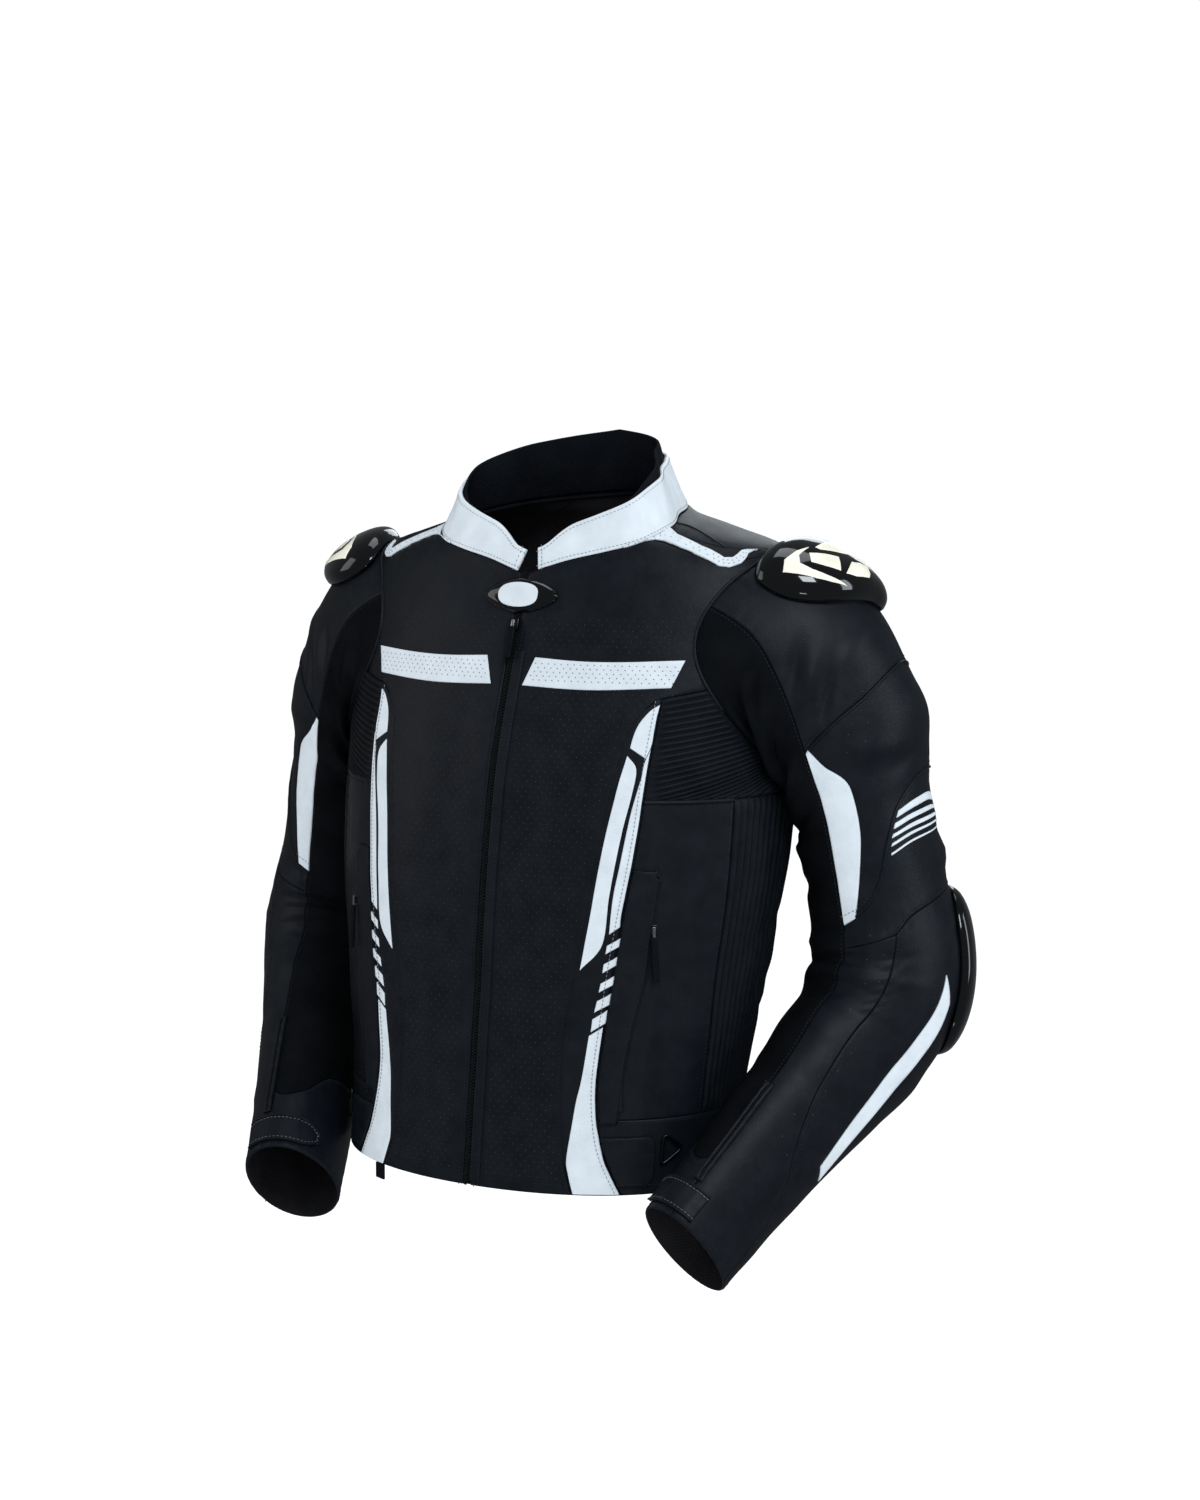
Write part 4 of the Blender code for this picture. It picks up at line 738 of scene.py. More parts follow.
def back_on(turn, z):
    """The finished trunk at a turn and a height."""
    turn, z = np.asarray(turn, float) + 0*z, np.asarray(z, float) + 0*turn
    return creased(turn, z, trunk_point(turn, z))


def trunk_on(turn, v):
    """The finished trunk at a turn and a spread height."""
    return back_on(turn, unspread(v))


def sleeve_on(s, turn):
    """The finished sleeve at a length and a turn."""
    p, n = sleeve_point(s, turn)
    d = (1.4*sleeve_waves(SLEEVE_CREASES, s, turn) + uneven(p))*np.clip(s/0.03, 0, 1)
    return p + n*d[..., None], n


def trunk_patch(low, high, left, right, ease=0):
    """A piece of the trunk inside four rows of (turn, spread height)."""
    g = coons(low, high, left, right, ease)
    return trunk_on(g[..., 0], g[..., 1])


def sleeve_patch(low, high, left, right, ease=0):
    """A piece of the sleeve inside four rows of (length, turn)."""
    g = coons(low, high, left, right, ease)
    return sleeve_on(g[..., 0], g[..., 1])


# %% [markdown]
# ## From a grid of places to a piece
# A piece is shown as a thin closed shell: the outer face, the inner face one wall further in,
# and a rim between them.  Two extra rows beside each edge let the outer face roll down.  The
# left piece is mirrored to make the right one, with its faces turned round.


# %% meshes
def both_sides(both):
    """Name endings and signs of x for a mirrored pair, or for a single piece."""
    return [("_left", 1), ("_right", -1)] if both else [("", 1)]


def add_near(data, near):
    """Two more rows of points close to each of the four edges."""
    for axis in (0, 1):
        d = np.moveaxis(data, axis, 0)
        gap0 = np.linalg.norm(d[1, :, :3] - d[0, :, :3], axis=-1)
        gap1 = np.linalg.norm(d[-1, :, :3] - d[-2, :, :3], axis=-1)
        t0 = [np.minimum(k/np.maximum(gap0, 1e-6), m)[:, None] for k, m in zip(near, (0.3, 0.6))]
        t1 = [np.minimum(k/np.maximum(gap1, 1e-6), m)[:, None] for k, m in zip(near, (0.3, 0.6))]
        head = [d[:1]] + [(d[0] + (d[1] - d[0])*t)[None] for t in t0]
        tail = [(d[-1] + (d[-2] - d[-1])*t)[None] for t in t1[::-1]] + [d[-1:]]
        data = np.moveaxis(np.concatenate(head + [d[1:-1]] + tail), 0, axis)
    return data


def edge_weights(r, c, amounts):
    """A grid of zeros with the given amounts in its outermost rows."""
    down = np.zeros((r, c))
    for k, amount in enumerate(amounts):
        for row in (down[k], down[-1 - k], down[:, k], down[:, -1 - k]):
            row[:] = np.maximum(row, amount)
    return down


def mesh_object(name, verts, faces, mats, pick=None, uv=None):
    """A smooth mesh in the scene, with a material for each face and a flat layout."""
    mesh = bpy.data.meshes.new(name)
    mesh.from_pydata(verts.tolist(), [], faces if isinstance(faces, list) else faces.tolist())
    for m in mats:
        mesh.materials.append(m)
    if pick is not None:
        mesh.polygons.foreach_set("material_index", np.asarray(pick, np.int32))
    if uv is not None:
        layer = mesh.uv_layers.new(name="cloth")
        corner = np.empty(len(mesh.loops), np.int32)
        mesh.loops.foreach_get("vertex_index", corner)
        layer.data.foreach_set("uv", np.asarray(uv, float)[corner].ravel())
    mesh.shade_smooth()
    obj = bpy.data.objects.new(name, mesh)
    bpy.context.scene.collection.objects.link(obj)
    return obj


def grid_faces(r, c):
    """Four-sided faces between the rows and columns of a grid."""
    o = np.arange(r*c).reshape(r, c)
    return np.stack([o[:-1, :-1], o[:-1, 1:], o[1:, 1:], o[1:, :-1]], -1).reshape(-1, 4)


# %% ripples beside the seams
def puckers(u, v, depth):
    """Small ripples beside the seams, where the thread draws the leather in."""
    total = 0*u
    far_u, far_v = u[:, -1:] - u, v[-1:] - v
    for off, run, phase in ((u, v, 0.0), (far_u, v, 1.9), (v, u, 0.7), (far_v, u, 2.6)):
        near = off/0.004
        wave = np.sin(run*2*math.pi/0.011 + phase + 1.5*np.sin(run*90 + phase))
        total = total + near*np.exp(1 - near)*wave
    return depth*total


def corner_cross(p):
    """For each cell of a grid, a vector as long as the cell is large."""
    return np.cross(p[:-1, 1:] - p[:-1, :-1], p[1:, :-1] - p[:-1, :-1])


# %% a closed shell from a grid
LINED, FACED = [black_leather, lining], [black_leather, black_leather]
CLOTH = {}              # what each cloth piece is: object, flat size and area
GRIDS = {}              # the outer face of each piece, for the seams and stitches to follow
ROLL = (1.0, 0.28, 0.0)
LEAST_FLAT = 0.0101     # the flat size kept for a piece is never under a centimetre


def closed_faces(r, c, flip):
    """Outer face, inner face and rim of two grids, and which of them show the inside."""
    top = grid_faces(r, c)
    o = np.arange(r*c).reshape(r, c)
    ring = np.concatenate([o[0, :-1], o[:-1, -1], o[-1, :0:-1], o[:0:-1, 0]])
    turned = np.roll(ring, -1)
    rim = np.stack([turned, ring, ring + r*c, turned + r*c], -1)
    if flip:
        top, rim = top[:, ::-1], rim[:, ::-1]
    pick = np.concatenate([np.zeros(len(top)), np.ones(len(top)), np.zeros(len(rim))])
    return np.concatenate([top, top[:, ::-1] + r*c, rim]), pick


def shell(word, p, n, wall, mats, both=True, rise=None, drop=0.0011, near=(0.0005, 0.0014),
          pucker=0.00022):
    """A closed shell for the node of the same name, on both sides where it has two."""
    wall = np.broadcast_to(np.asarray(wall, float), p.shape[:2])
    rise = np.zeros(p.shape[:2]) if rise is None else rise
    data = add_near(np.concatenate([p, n, wall[..., None], rise[..., None]], -1), near)
    p, n = data[..., :3], unit(data[..., 3:6])
    wall, rise = data[..., 6:7], data[..., 7:8]
    r, c = p.shape[:2]
    step_u = np.linalg.norm(np.diff(p, axis=1), axis=-1)
    step_v = np.linalg.norm(np.diff(p, axis=0), axis=-1)
    u = np.concatenate([np.zeros((r, 1)), np.cumsum(step_u, 1)], 1)
    v = np.concatenate([np.zeros((1, c)), np.cumsum(step_v, 0)], 0)
    face = p + n*(rise + puckers(u, v, pucker)[..., None])
    outer = face - n*drop*edge_weights(r, c, ROLL)[..., None]
    inner = p - n*wall
    GRIDS[word] = (face, n)
    width, length = float(u[:, -1].max()), float(v[-1].max())
    cross = corner_cross(p)
    area = float(np.linalg.norm(cross, axis=-1).sum())
    uv = np.stack([u - u[:, c//2:c//2 + 1], v - v[r//2:r//2 + 1]], -1).reshape(-1, 2)
    faces, pick = closed_faces(r, c, (cross*n[:-1, :-1]).sum() < 0)
    verts = np.concatenate([outer.reshape(-1, 3), inner.reshape(-1, 3)])
    for side, sign in both_sides(both):
        f = faces if sign == 1 else faces[:, ::-1]
        obj = mesh_object(word + side + "_cloth", verts*[sign, 1, 1], f, mats, pick, np.tile(uv, (2, 1)))
        CLOTH[word + side] = (obj, max(width, LEAST_FLAT), max(length, LEAST_FLAT), area)
    print(word, r, "x", c, "flat", round(width, 3), "x", round(length, 3), "m")


# %% [markdown]
# ## The trunk
# Two front panels of matte leather meet at the zip.  A pale shaped strip runs down each side
# of the belly, and behind it the body is plain leather, with ribbed stretch pieces under the
# arm and down the side so that the jacket bends easily.

# %% shared seams
RING_FRONT = [105, 90, 75, 60, 50, 40, 30, 19]
RING_UNDER = np.linspace(105, 200, 7)
RING_BACK = [200, 215, 230, 245, 260, 275, 290, 305, 320]
RING_YOKE = np.linspace(15, -40, 7)
NECK_FRONT, NECK_LOW, NECK_HIGH, NECK_BACK = 4.0, 38.0, 50.0, 140.0


def ring_place(turn):
    """Places (turn, spread height) on the armhole's rim."""
    p = armhole(np.asarray(turn, float))
    return np.stack([trunk_turn(p), spread(p[..., 2])], -1)


def edge_x(col, heights):
    """The pale insert's inner (0) or outer (1) edge at some heights."""
    x = table(INSERT, heights)[..., col]
    return np.stack([turn_at(x, heights), spread(heights)], -1)


def strip_edge(heights):
    """The side strip's front edge."""
    return np.stack([table(STRIP, heights)[..., 0], spread(heights)], -1)


def upright(turn, heights):
    """An edge that keeps its turn."""
    return np.stack([turn + 0*heights, spread(heights)], -1)


def neck_place(turn):
    """Places on the neckline."""
    turn = np.asarray(turn, float)
    return np.stack([turn, spread(table(NECK, turn)[..., 0])], -1)


def trim_edge(points, neck_turn, ring_turn, n):
    """A smooth row over the shoulder, from the neckline to the armhole."""
    mid = [on_top(x, y) for x, y in points]
    return curve([neck_place(neck_turn), *mid, ring_place(ring_turn)], n)


def bottom_seam(z):
    """Three places along a level seam at the side: insert, strip, back."""
    a = edge_x(1, np.array([z]))[0]
    b = strip_edge(np.array([z]))[0]
    return a, b, np.array([STRIP_BACK, spread(z)])


def armhole_wall(p, n, thick, turns, rows=slice(None)):
    """The walls of a panel whose far edge meets the sleeve; turns its normals there too."""
    wall = np.full(p.shape[:2], thick)
    m, more = mitre(np.asarray(turns, float))
    n[rows, -1] = m
    wall[rows, -1] = wall[rows, -1]*more
    return wall


# %% front panels
TIP_IN = edge_x(0, np.array([TIP]))[0]
TIP_OUT = edge_x(1, np.array([TIP]))[0]
heights = np.concatenate([LOW, MID[1:], HIGH[1:]])
k = spaced([0, 2, 8, 12, 13, 14, 21], [15, 62, 22, 1, 5, 30])
h = along(heights, k[k <= 12])
ring = along(RING_FRONT, k[k >= 14] - 14)
right = chain(edge_x(0, h), [TIP_IN, TIP_OUT], line(TIP_OUT, ring_place(105), 5), ring_place(ring))
upper = np.linspace(TIP, float(table(NECK, 2.0)[0]), 10)
middle_heights = np.concatenate([heights, upper[1:]])
low_part = np.clip((middle_heights - HEM)/(TIP - HEM), 0, 1)**3
middle_heights = middle_heights + 0.02*low_part*np.clip((-0.05 - middle_heights)/0.097, 0, 1)
mid = along(middle_heights, k)
left = np.stack([turn_at(0.0036 + 0*mid, mid), spread(mid)], -1)
left[-1] = neck_place(NECK_FRONT)
high = chain(neck_place(np.linspace(NECK_FRONT, NECK_LOW, 19)), trim_edge(TRIM_LOW, NECK_LOW, 19, 24))
low = line(left[0], right[0], len(high) - 1)
p, n = trunk_patch(low, high, left, right, 300)
shell("front", p, n, armhole_wall(p, n, LEATHER, ring, slice(-len(ring), None)), LINED)

# %% the strip between front and side: a leather base that the pale pieces are sewn onto
h = np.concatenate([np.linspace(HEM, BAND, 19)[:-1], np.linspace(BAND, TIP, 90)])
left, right = edge_x(0, h), edge_x(1, h)
p, n = trunk_patch(line(left[0], right[0], 8), line(left[-1], right[-1], 8), left, right)
shell("side_insert", p, n, LEATHER, LINED)


# %% ribbed stretch piece below the arm
a = edge_x(1, np.linspace(TIP, RIBS, 129))
s0, s1, s2 = bottom_seam(RIBS)
steps = np.concatenate([line(s0, s1, 3), line(s1, s2, 4)[1:]])
rail = chain(a, along(steps, np.arange(0, 14*8 + 1)/16))
k = np.arange(len(rail))/8
ring = along(RING_UNDER, k/5)
far = ring_place(ring)
p, n = trunk_patch(line(rail[0], far[0], 30), line(rail[-1], far[-1], 30), rail, far)
wall = armhole_wall(p, n, KNIT, ring)
fade = np.clip(np.minimum(np.arange(31), 30 - np.arange(31))/3.0, 0, 1)[None]
ridge = 0.0025*np.abs(np.sin(math.pi*k))[:, None]**0.8*fade
shell("side_accordion", p, n, wall, [ribbed, lining], rise=ridge, pucker=0.0)

# %% plain side panel
h = spaced([BAND, RIBS], [66])
s0, s1, _ = bottom_seam(BAND)
t0, t1, _ = bottom_seam(RIBS)
p, n = trunk_patch(line(s0, s1, 26), line(t0, t1, 26), edge_x(1, h), strip_edge(h))
shell("side_panel", p, n, LEATHER, LINED)

# %% ribbed strip at the side
k = np.arange(14*8 + 1)/8
b0, b1 = (bottom_seam(z) for z in (BAND, RIBS))
p, n = trunk_patch(line(b0[1], b0[2], 112), line(b1[1], b1[2], 112), strip_edge(h), upright(STRIP_BACK, h))
fade = np.clip(np.minimum(np.arange(67), 66 - np.arange(67))/2.0, 0, 1)[:, None]
ridge = 0.0024*np.abs(np.sin(math.pi*k))[None]**0.7*fade
shell("side_strip", p, n, KNIT, [ribbed, lining], rise=ridge, pucker=0.0)

# %% band along the hem
h = spaced([HEM, BAND], [16])
h0, h1 = bottom_seam(HEM), bottom_seam(BAND)
low = chain(line(h0[0], h0[1], 26), line(h0[1], h0[2], 30))
high = chain(line(h1[0], h1[1], 26), line(h1[1], h1[2], 30))
p, n = trunk_patch(low, high, edge_x(1, h), upright(STRIP_BACK, h))
shell("hem_band", p, n, LEATHER, LINED)

# %% back
h = np.concatenate([np.linspace(HEM, BAND, 16)[:-1], np.linspace(BAND, RIBS, 63)])
ring = along(RING_BACK, spaced([0, 8], [40]))
left = chain(upright(STRIP_BACK, h), line((STRIP_BACK, spread(RIBS)), ring_place(200), 9), ring_place(ring))
right = left*[-1, 1] + [360, 0]
high = chain(line(ring_place(320), neck_place(NECK_BACK), 28), neck_place(np.linspace(NECK_BACK, 180, 15)))
high = chain(high, high[::-1]*[-1, 1] + [360, 0])
p, n = trunk_patch(line(left[0], right[0], len(high) - 1), high, left, right, 500)
wall = np.full(p.shape[:2], LEATHER)
m, more = mitre(ring)
n[-len(ring):, 0] = m
n[-len(ring):, -1] = m*[-1, 1, 1]
wall[-len(ring):, 0] *= more
wall[-len(ring):, -1] *= more
shell("back", p, n, wall, LINED, both=False)

# %% shoulder yokes
low = line(neck_place(NECK_BACK), ring_place(320), 24)
high = trim_edge(TRIM_HIGH, NECK_HIGH, 15, 24)
ring = along(RING_YOKE[::-1], spaced([0, 6], [30]))
p, n = trunk_patch(low, high, neck_place(np.linspace(NECK_BACK, NECK_HIGH, 31)), ring_place(ring))
shell("shoulder_yoke", p, n, armhole_wall(p, n, LEATHER, ring), LINED)

# %% the pale trim's base, beside the yoke
low = trim_edge(TRIM_LOW, NECK_LOW, 19, 36)
high = trim_edge(TRIM_HIGH, NECK_HIGH, 15, 36)
p, n = trunk_patch(low, high, line(low[0], high[0], 5), line(low[-1], high[-1], 5))
shell("shoulder_trim", p, n, armhole_wall(p, n, LEATHER, np.linspace(19, 15, 6)), LINED)

# %% [markdown]
# ## The collar
# A stand collar is a bent band, cut slightly curved so that it leans in to the neck.  Its top
# front corners are rounded.  A soft knitted band stands inside it and shows above it towards
# the back, so that no leather edge rubs the neck.

# %% collar band and the knit inside it
COLLAR = np.array([      # turn, height of the band, rise of the knit above it
    (0.0, 0.026, -0.006), (20.0, 0.032, -0.003), (45.0, 0.039, 0.006), (70.0, 0.041, 0.012),
    (120.0, 0.043, 0.013), (180.0, 0.045, 0.013)])
BAND_WALL = 0.003


def collar_surface(turn, up):
    a = np.abs((turn + 180) % 360 - 180)
    base = trunk_point(turn, table(NECK, a)[..., 0])
    tall = table(COLLAR, a)[..., 0]
    inward = unit((base - np.array([0, -0.004, 0]))*[1, 1, 0])
    lean = 0.52*tall*up*(1 - 0.18*up)
    p = base - inward*lean[..., None] + np.stack([0*up, 0*up, tall*up + GAP/2], -1)
    n = unit(inward + np.stack([0*up, 0*up, 0.45 - 0.1*up], -1))
    flat = np.clip(1 - up*4, 0, 1)[..., None]
    return p, unit(n*(1 - flat) + unit(n*[1, 1, 0.02])*flat), tall


def collar_band(turn, up):
    """Outer face of the band with its rounded front corners."""
    near = np.minimum(turn, 360 - turn)
    up = up*(1 - 0.28*np.clip(1 - (near - 4)/9, 0, 1)**2)
    p, n, tall = collar_surface(turn, up)
    wave = 0.0005*np.sin(turn*0.21 + 2*up) + 0.0004*np.sin(turn*0.67 + 1.0)*np.sin(math.pi*up)
    return p + n*wave[..., None], n, tall


t, u = np.meshgrid(spaced([4, 38, 180, 322, 356], [26, 60, 60, 26]), np.linspace(0, 1, 13))
t = t - np.clip((38 - t)/34, 0, 1)*(1.0 + 1.1*u) + np.clip((t - 322)/34, 0, 1)*(2.1 + 1.2*u)
p, n, tall = collar_band(t, u)
shell("collar", p, n, BAND_WALL, [white_leather, neck_knit], both=False, drop=0.0012)
t, v = np.meshgrid(np.linspace(26.7, 333.3, 170), np.linspace(0, 1, 15))
more = table(COLLAR, np.minimum(t, 360 - t))
v = 0.12 + v*(0.88 + more[..., 1]/more[..., 0])
p, n, tall = collar_surface(t, v)
p = p - n*(BAND_WALL + 2*GAP)
shell("collar_inner", p, n, 0.0024, [neck_knit, neck_knit], both=False, drop=0.0007)

# %% [markdown]
# ## The sleeves
# A riding sleeve is cut with a bend, to suit a forward seat.  Curved seams run round
# the upper arm and above the elbow, and the whole inside of the arm is stretch cloth.  All
# pieces are laid on one bent tube: length along the arm, and turn round it.

# %% seams of the sleeve
RING_CAP = np.array([60, 50, 40, 30, 19, *RING_YOKE, -55, -70, -85, -100, -115, -130])
BICEPS = np.array([(-130, 0.112), (-60, 0.106), (-16, 0.108), (20, 0.113), (40, 0.119),
                   (60, 0.123), (80, 0.127), (95, 0.13)])
TRICEPS = [(0.268, 82), (0.256, 66), (0.238, 54), (0.212, 45), (0.193, 34), (0.182, 18),
           (0.177, 0), (0.175, -30), (0.175, -60), (0.177, -95), (0.18, -130)]
PALE = [(0.132, 77), (0.146, 73), (0.162, 64), (0.176, 62.5), (0.205, 64.5), (0.238, 72)]
FORE_TOP = [(0.294, 56), (0.277, 38), (0.269, 6), (0.266, -25), (0.264, -60), (0.264, -130)]
FORE_SEAM = [(0.294, 56), (0.325, 60), (0.356, 61), (0.4, 58), (0.444, 54), (0.49, 43),
             (0.526, 26), (0.552, 6), (0.59, -10), (CUFF, -20)]
FORE_STEPS = np.array([0.0, 0.07, 0.14, 0.21, 0.285, 0.37, 0.53, 0.75, 1.0])


def edge_at(s):
    """The front edge of the inner stretch piece."""
    s = np.asarray(s, float)
    return np.stack([s, table(EDGE, s)[..., 0]], -1)


def biceps(turn):
    """The seam round the upper arm."""
    turn = np.asarray(turn, float)
    return np.stack([table(BICEPS, turn)[..., 0], turn], -1)


def through(points, n, steps=None):
    """A smooth row through places on the sleeve, spread by length or at given fractions."""
    dense = curve(points, 400) if len(points) > 2 else np.asarray(points, float)
    d = np.concatenate([[0], np.cumsum(np.linalg.norm(np.diff(dense, axis=0)*[1, 0.00115], axis=1))])
    at = np.linspace(0, d[-1], n + 1) if steps is None else d[-1]*steps
    return np.stack([np.interp(at, d, dense[:, c]) for c in range(2)], -1)


def rear(a, b, n):
    """A row along the back seam of the sleeve."""
    return np.stack([np.linspace(a, b, n + 1), np.full(n + 1, REAR)], -1)


def sleeve_shell(word, patch, wall, mats, ring=None):
    """A shell on the sleeve; a ring of turns puts its low edge on the armhole."""
    p, n = patch
    thick = np.full(p.shape[:2], wall)
    if ring is not None:
        m, more = mitre(np.asarray(ring, float))
        n[0] = m
        thick[0] *= more
        p[0] = armhole(np.asarray(ring, float))
    shell(word, p, n, thick, mats)


# %% cap, middle and pale insert of the upper arm
CAP_END = 0.128
a0 = edge_at(CAP_END)
arm_tip = biceps(78.0)
k = spaced([0, 1, 17], [6, 80])
ring = along(RING_CAP, k)
seam = biceps(np.linspace(78, REAR, 81))
low = np.stack([0*ring, ring], -1)
cap_left, cap_right = edge_at(np.linspace(0, CAP_END, 37)), rear(0, seam[-1][0], 36)
patch = sleeve_patch(low, chain(line(a0, arm_tip, 6), seam), cap_left, cap_right)
sleeve_shell("sleeve_cap", patch, LEATHER, LINED, ring)
inner = through(TRICEPS, 80)
pale = through([arm_tip, *PALE, TRICEPS[0]], 40)
b0 = edge_at(0.275)
patch = sleeve_patch(seam, inner, pale, rear(seam[-1][0], inner[-1][0], 40), 900)
sleeve_shell("sleeve_mid", patch, LEATHER, LINED)
left = edge_at(np.linspace(CAP_END, 0.275, 41))
patch = sleeve_patch(line(a0, arm_tip, 9), line(b0, inner[0], 9), left, pale)
sleeve_shell("sleeve_insert", patch, LEATHER, [white_leather, lining])

# %% elbow and forearm
c0 = edge_at(0.312)
top_front = through([c0, FORE_TOP[0]], 26)
top_back = through(FORE_TOP, 60)
left = edge_at(np.linspace(0.275, 0.312, 13))
right = rear(inner[-1][0], top_back[-1][0], 12)
patch = sleeve_patch(chain(line(b0, inner[0], 6), inner), chain(top_front, top_back), left, right)
sleeve_shell("sleeve_elbow", patch, LEATHER, LINED)
SPLIT, BACK_SPLIT = 0.575, 0.545
k = spaced([0, 8, 10], [78, 16])
fore = along(FORE_STEPS, k[k <= 8])
fore_left = np.concatenate([0.312 + (SPLIT - 0.312)*fore, np.linspace(SPLIT, CUFF, 17)[1:]])
seam_steps = np.concatenate([fore*0.8, np.linspace(0.8, 1, 17)[1:]])
fore_seam = through(FORE_SEAM, 94, seam_steps)
cuff_end = edge_at(CUFF)
ring = line(cuff_end, fore_seam[-1], 26)
patch = sleeve_patch(top_front, ring, edge_at(fore_left), fore_seam)
sleeve_shell("forearm_front", patch, LEATHER, LINED)
back_s = np.concatenate([top_back[-1][0] + (BACK_SPLIT - top_back[-1][0])*fore,
                         np.linspace(BACK_SPLIT, CUFF, 17)[1:]])
ring = line(fore_seam[-1], (CUFF, REAR), 60)
patch = sleeve_patch(top_back, ring, fore_seam, np.stack([back_s, 0*back_s + REAR], -1))
sleeve_shell("forearm_outer", patch, LEATHER, LINED)

# %% stretch cloth inside the arm, and the leather of the inner cuff
ring = along(np.concatenate([[60, 75, 90], RING_UNDER, [215, 230]]), np.arange(56)/5)
low = np.stack([0*ring, ring], -1)
run = [cap_left, edge_at(np.linspace(CAP_END, 0.275, 41)), edge_at(np.linspace(0.275, 0.312, 13)),
       edge_at(fore_left[:79])]
back_run = [cap_right, rear(cap_right[-1][0], inner[-1][0], 40), rear(inner[-1][0], top_back[-1][0], 12),
            np.stack([back_s[:79], 0*back_s[:79] + REAR], -1)]
left = chain(*run)
right = chain(*back_run)*[1, 0] + [0, 360 + REAR]
end = through([left[-1], (0.583, 100), (0.574, 126), (0.552, 150), (0.545, 185), right[-1]], 55)
sleeve_shell("sleeve_stretch", sleeve_patch(low, end, left, right), KNIT, [stretch, lining], ring)
right = rear(BACK_SPLIT, CUFF, 16)*[1, 0] + [0, 360 + REAR]
high = line(cuff_end, (CUFF, 360 + REAR), 55)
patch = sleeve_patch(end, high, edge_at(fore_left[78:]), right)
sleeve_shell("cuff_inner", patch, LEATHER, LINED)

# %% [markdown]
# ## Hard cups
# The shoulder and elbow cups are moulded and glossy, with a rolled rim.  A cup is a set of
# rings of places round its middle, raised by a height that falls off towards the rim.

# %% hard materials
gloss = polished("gloss_cup", (0.0016, 0.002, 0.0028), 0.1, 0.0, 38.0, 0.1, 0.05,
                 Coat_Weight=0.9, Coat_Roughness=0.03, Specular_IOR_Level=0.2)
cream = mottled("cream_inlay", (0.72, 0.7, 0.58), 0.28, (0.66, 0.64, 0.53), (0.76, 0.74, 0.62), 60.0,
                Coat_Weight=0.5, Coat_Roughness=0.1)
print("cups:", gloss.name, "and", cream.name)


# %% domed pieces
def front_place(x, z):
    """Point and normal of the trunk's front at a sideways place and height."""
    x, z = np.broadcast_arrays(np.asarray(x, float), np.asarray(z, float))
    s = table(TRUNK, z)
    k = np.clip(1 - np.abs(x/s[..., 0])**s[..., 4], 1e-6, 1)
    p = np.stack([x, s[..., 3] - s[..., 1]*k**(1/s[..., 4]), z], -1)
    return creased(trunk_turn(p), z, p)


def sleeve_place(s0, turn0, radius):
    """A reader of the sleeve that takes metres along and round it from a middle."""
    def place(u, w):
        return sleeve_point(s0 + u, turn0 + np.degrees(w/radius))
    return place


CUP_WALL = 0.003
CUP_RADII = np.concatenate([np.linspace(0.04, 0.9, 17), np.linspace(0.92, 1.0, 7)])
CUP_SIDES = 72


def dome(word, place, reach, heights, power, slot, both=True):
    """A hollow glossy cup that stands on its rim; returns a reader for places on it."""
    rows = np.array([(0.0, heights[0][1])] + heights)
    t = np.linspace(0, 2*math.pi, CUP_SIDES, endpoint=False)
    c, s = np.cos(t), np.sin(t)
    shape = (np.abs(c)**power + np.abs(s)**power)**(-1/power)
    tops, feet = [], []
    for r in CUP_RADII:
        h = float(table(rows, r)[0])
        p, n = place(reach[0]*r*shape*c, reach[1]*r*shape*s)
        tops.append(p + n*(LIFT + h))
        feet.append(p + n*(LIFT + max(h - CUP_WALL, 0.0)))
    p, n = place(np.zeros(1), np.zeros(1))
    peak = heights[0][1]
    verts = np.concatenate([*tops, *feet, p + n*(LIFT + peak), p + n*(LIFT + peak - CUP_WALL)])
    k, m = len(CUP_RADII), CUP_SIDES
    w = k*m
    a, b = np.meshgrid(np.arange(k - 1), np.arange(m), indexing="ij")
    q = (b + 1) % m
    up = np.stack([a*m + b, (a + 1)*m + b, (a + 1)*m + q, a*m + q], -1).reshape(-1, 4)
    faces = up.tolist() + (up[:, ::-1] + w).tolist()
    last = (k - 1)*m
    for b in range(m):
        q = (b + 1) % m
        faces += [[last + b, w + last + b, w + last + q, last + q], [2*w, b, q], [2*w + 1, w + q, w + b]]
    if np.dot(np.cross(verts[0] - verts[2*w], verts[1] - verts[2*w]), n[0]) < 0:
        faces = [f[::-1] for f in faces]
    for side, sign in both_sides(both):
        f = faces if sign == 1 else [q[::-1] for q in faces]
        obj = mesh_object(word + side + "_shell", verts*[sign, 1, 1], f, [gloss])
        OTHERS.append((obj, "jacket", [word + side], slot))
    print(word, "peak", peak, "m")

    def on_it(u, w):
        r = (np.abs(u/reach[0])**power + np.abs(w/reach[1])**power)**(1/power)
        p, n = place(u, w)
        return p + n*(LIFT + table(rows, np.clip(r, 0, 1))[..., :1]), n
    return on_it


# %% shoulder cups, elbow sliders and the badge at the throat
OTHERS = []     # every piece that is not cloth: object, body, solids that it replaces, kind
cup_base = sleeve_place(0.035, 2.0, 0.086)
on_cup = dome("shoulder_cup", lambda u, w: cup_base(u - 0.22*w, w), (0.031, 0.057),
              [(0.45, 0.0174), (0.8, 0.014), (0.95, 0.008), (1.0, 0.0032)], 2.4, "gloss_cup")
dome("elbow_slider", sleeve_place(0.322, -44.0, 0.07), (0.053, 0.044),
     [(0.5, 0.0116), (0.82, 0.0098), (0.95, 0.0064), (1.0, 0.0026)], 2.6, "elbow_plastic")
on_badge = dome("zip_badge", lambda u, w: front_place(u, w - 0.068), (0.035, 0.014),
                [(0.55, 0.0048), (0.88, 0.0034), (1.0, 0.0014)], 1.6, "gloss_cup", both=False)


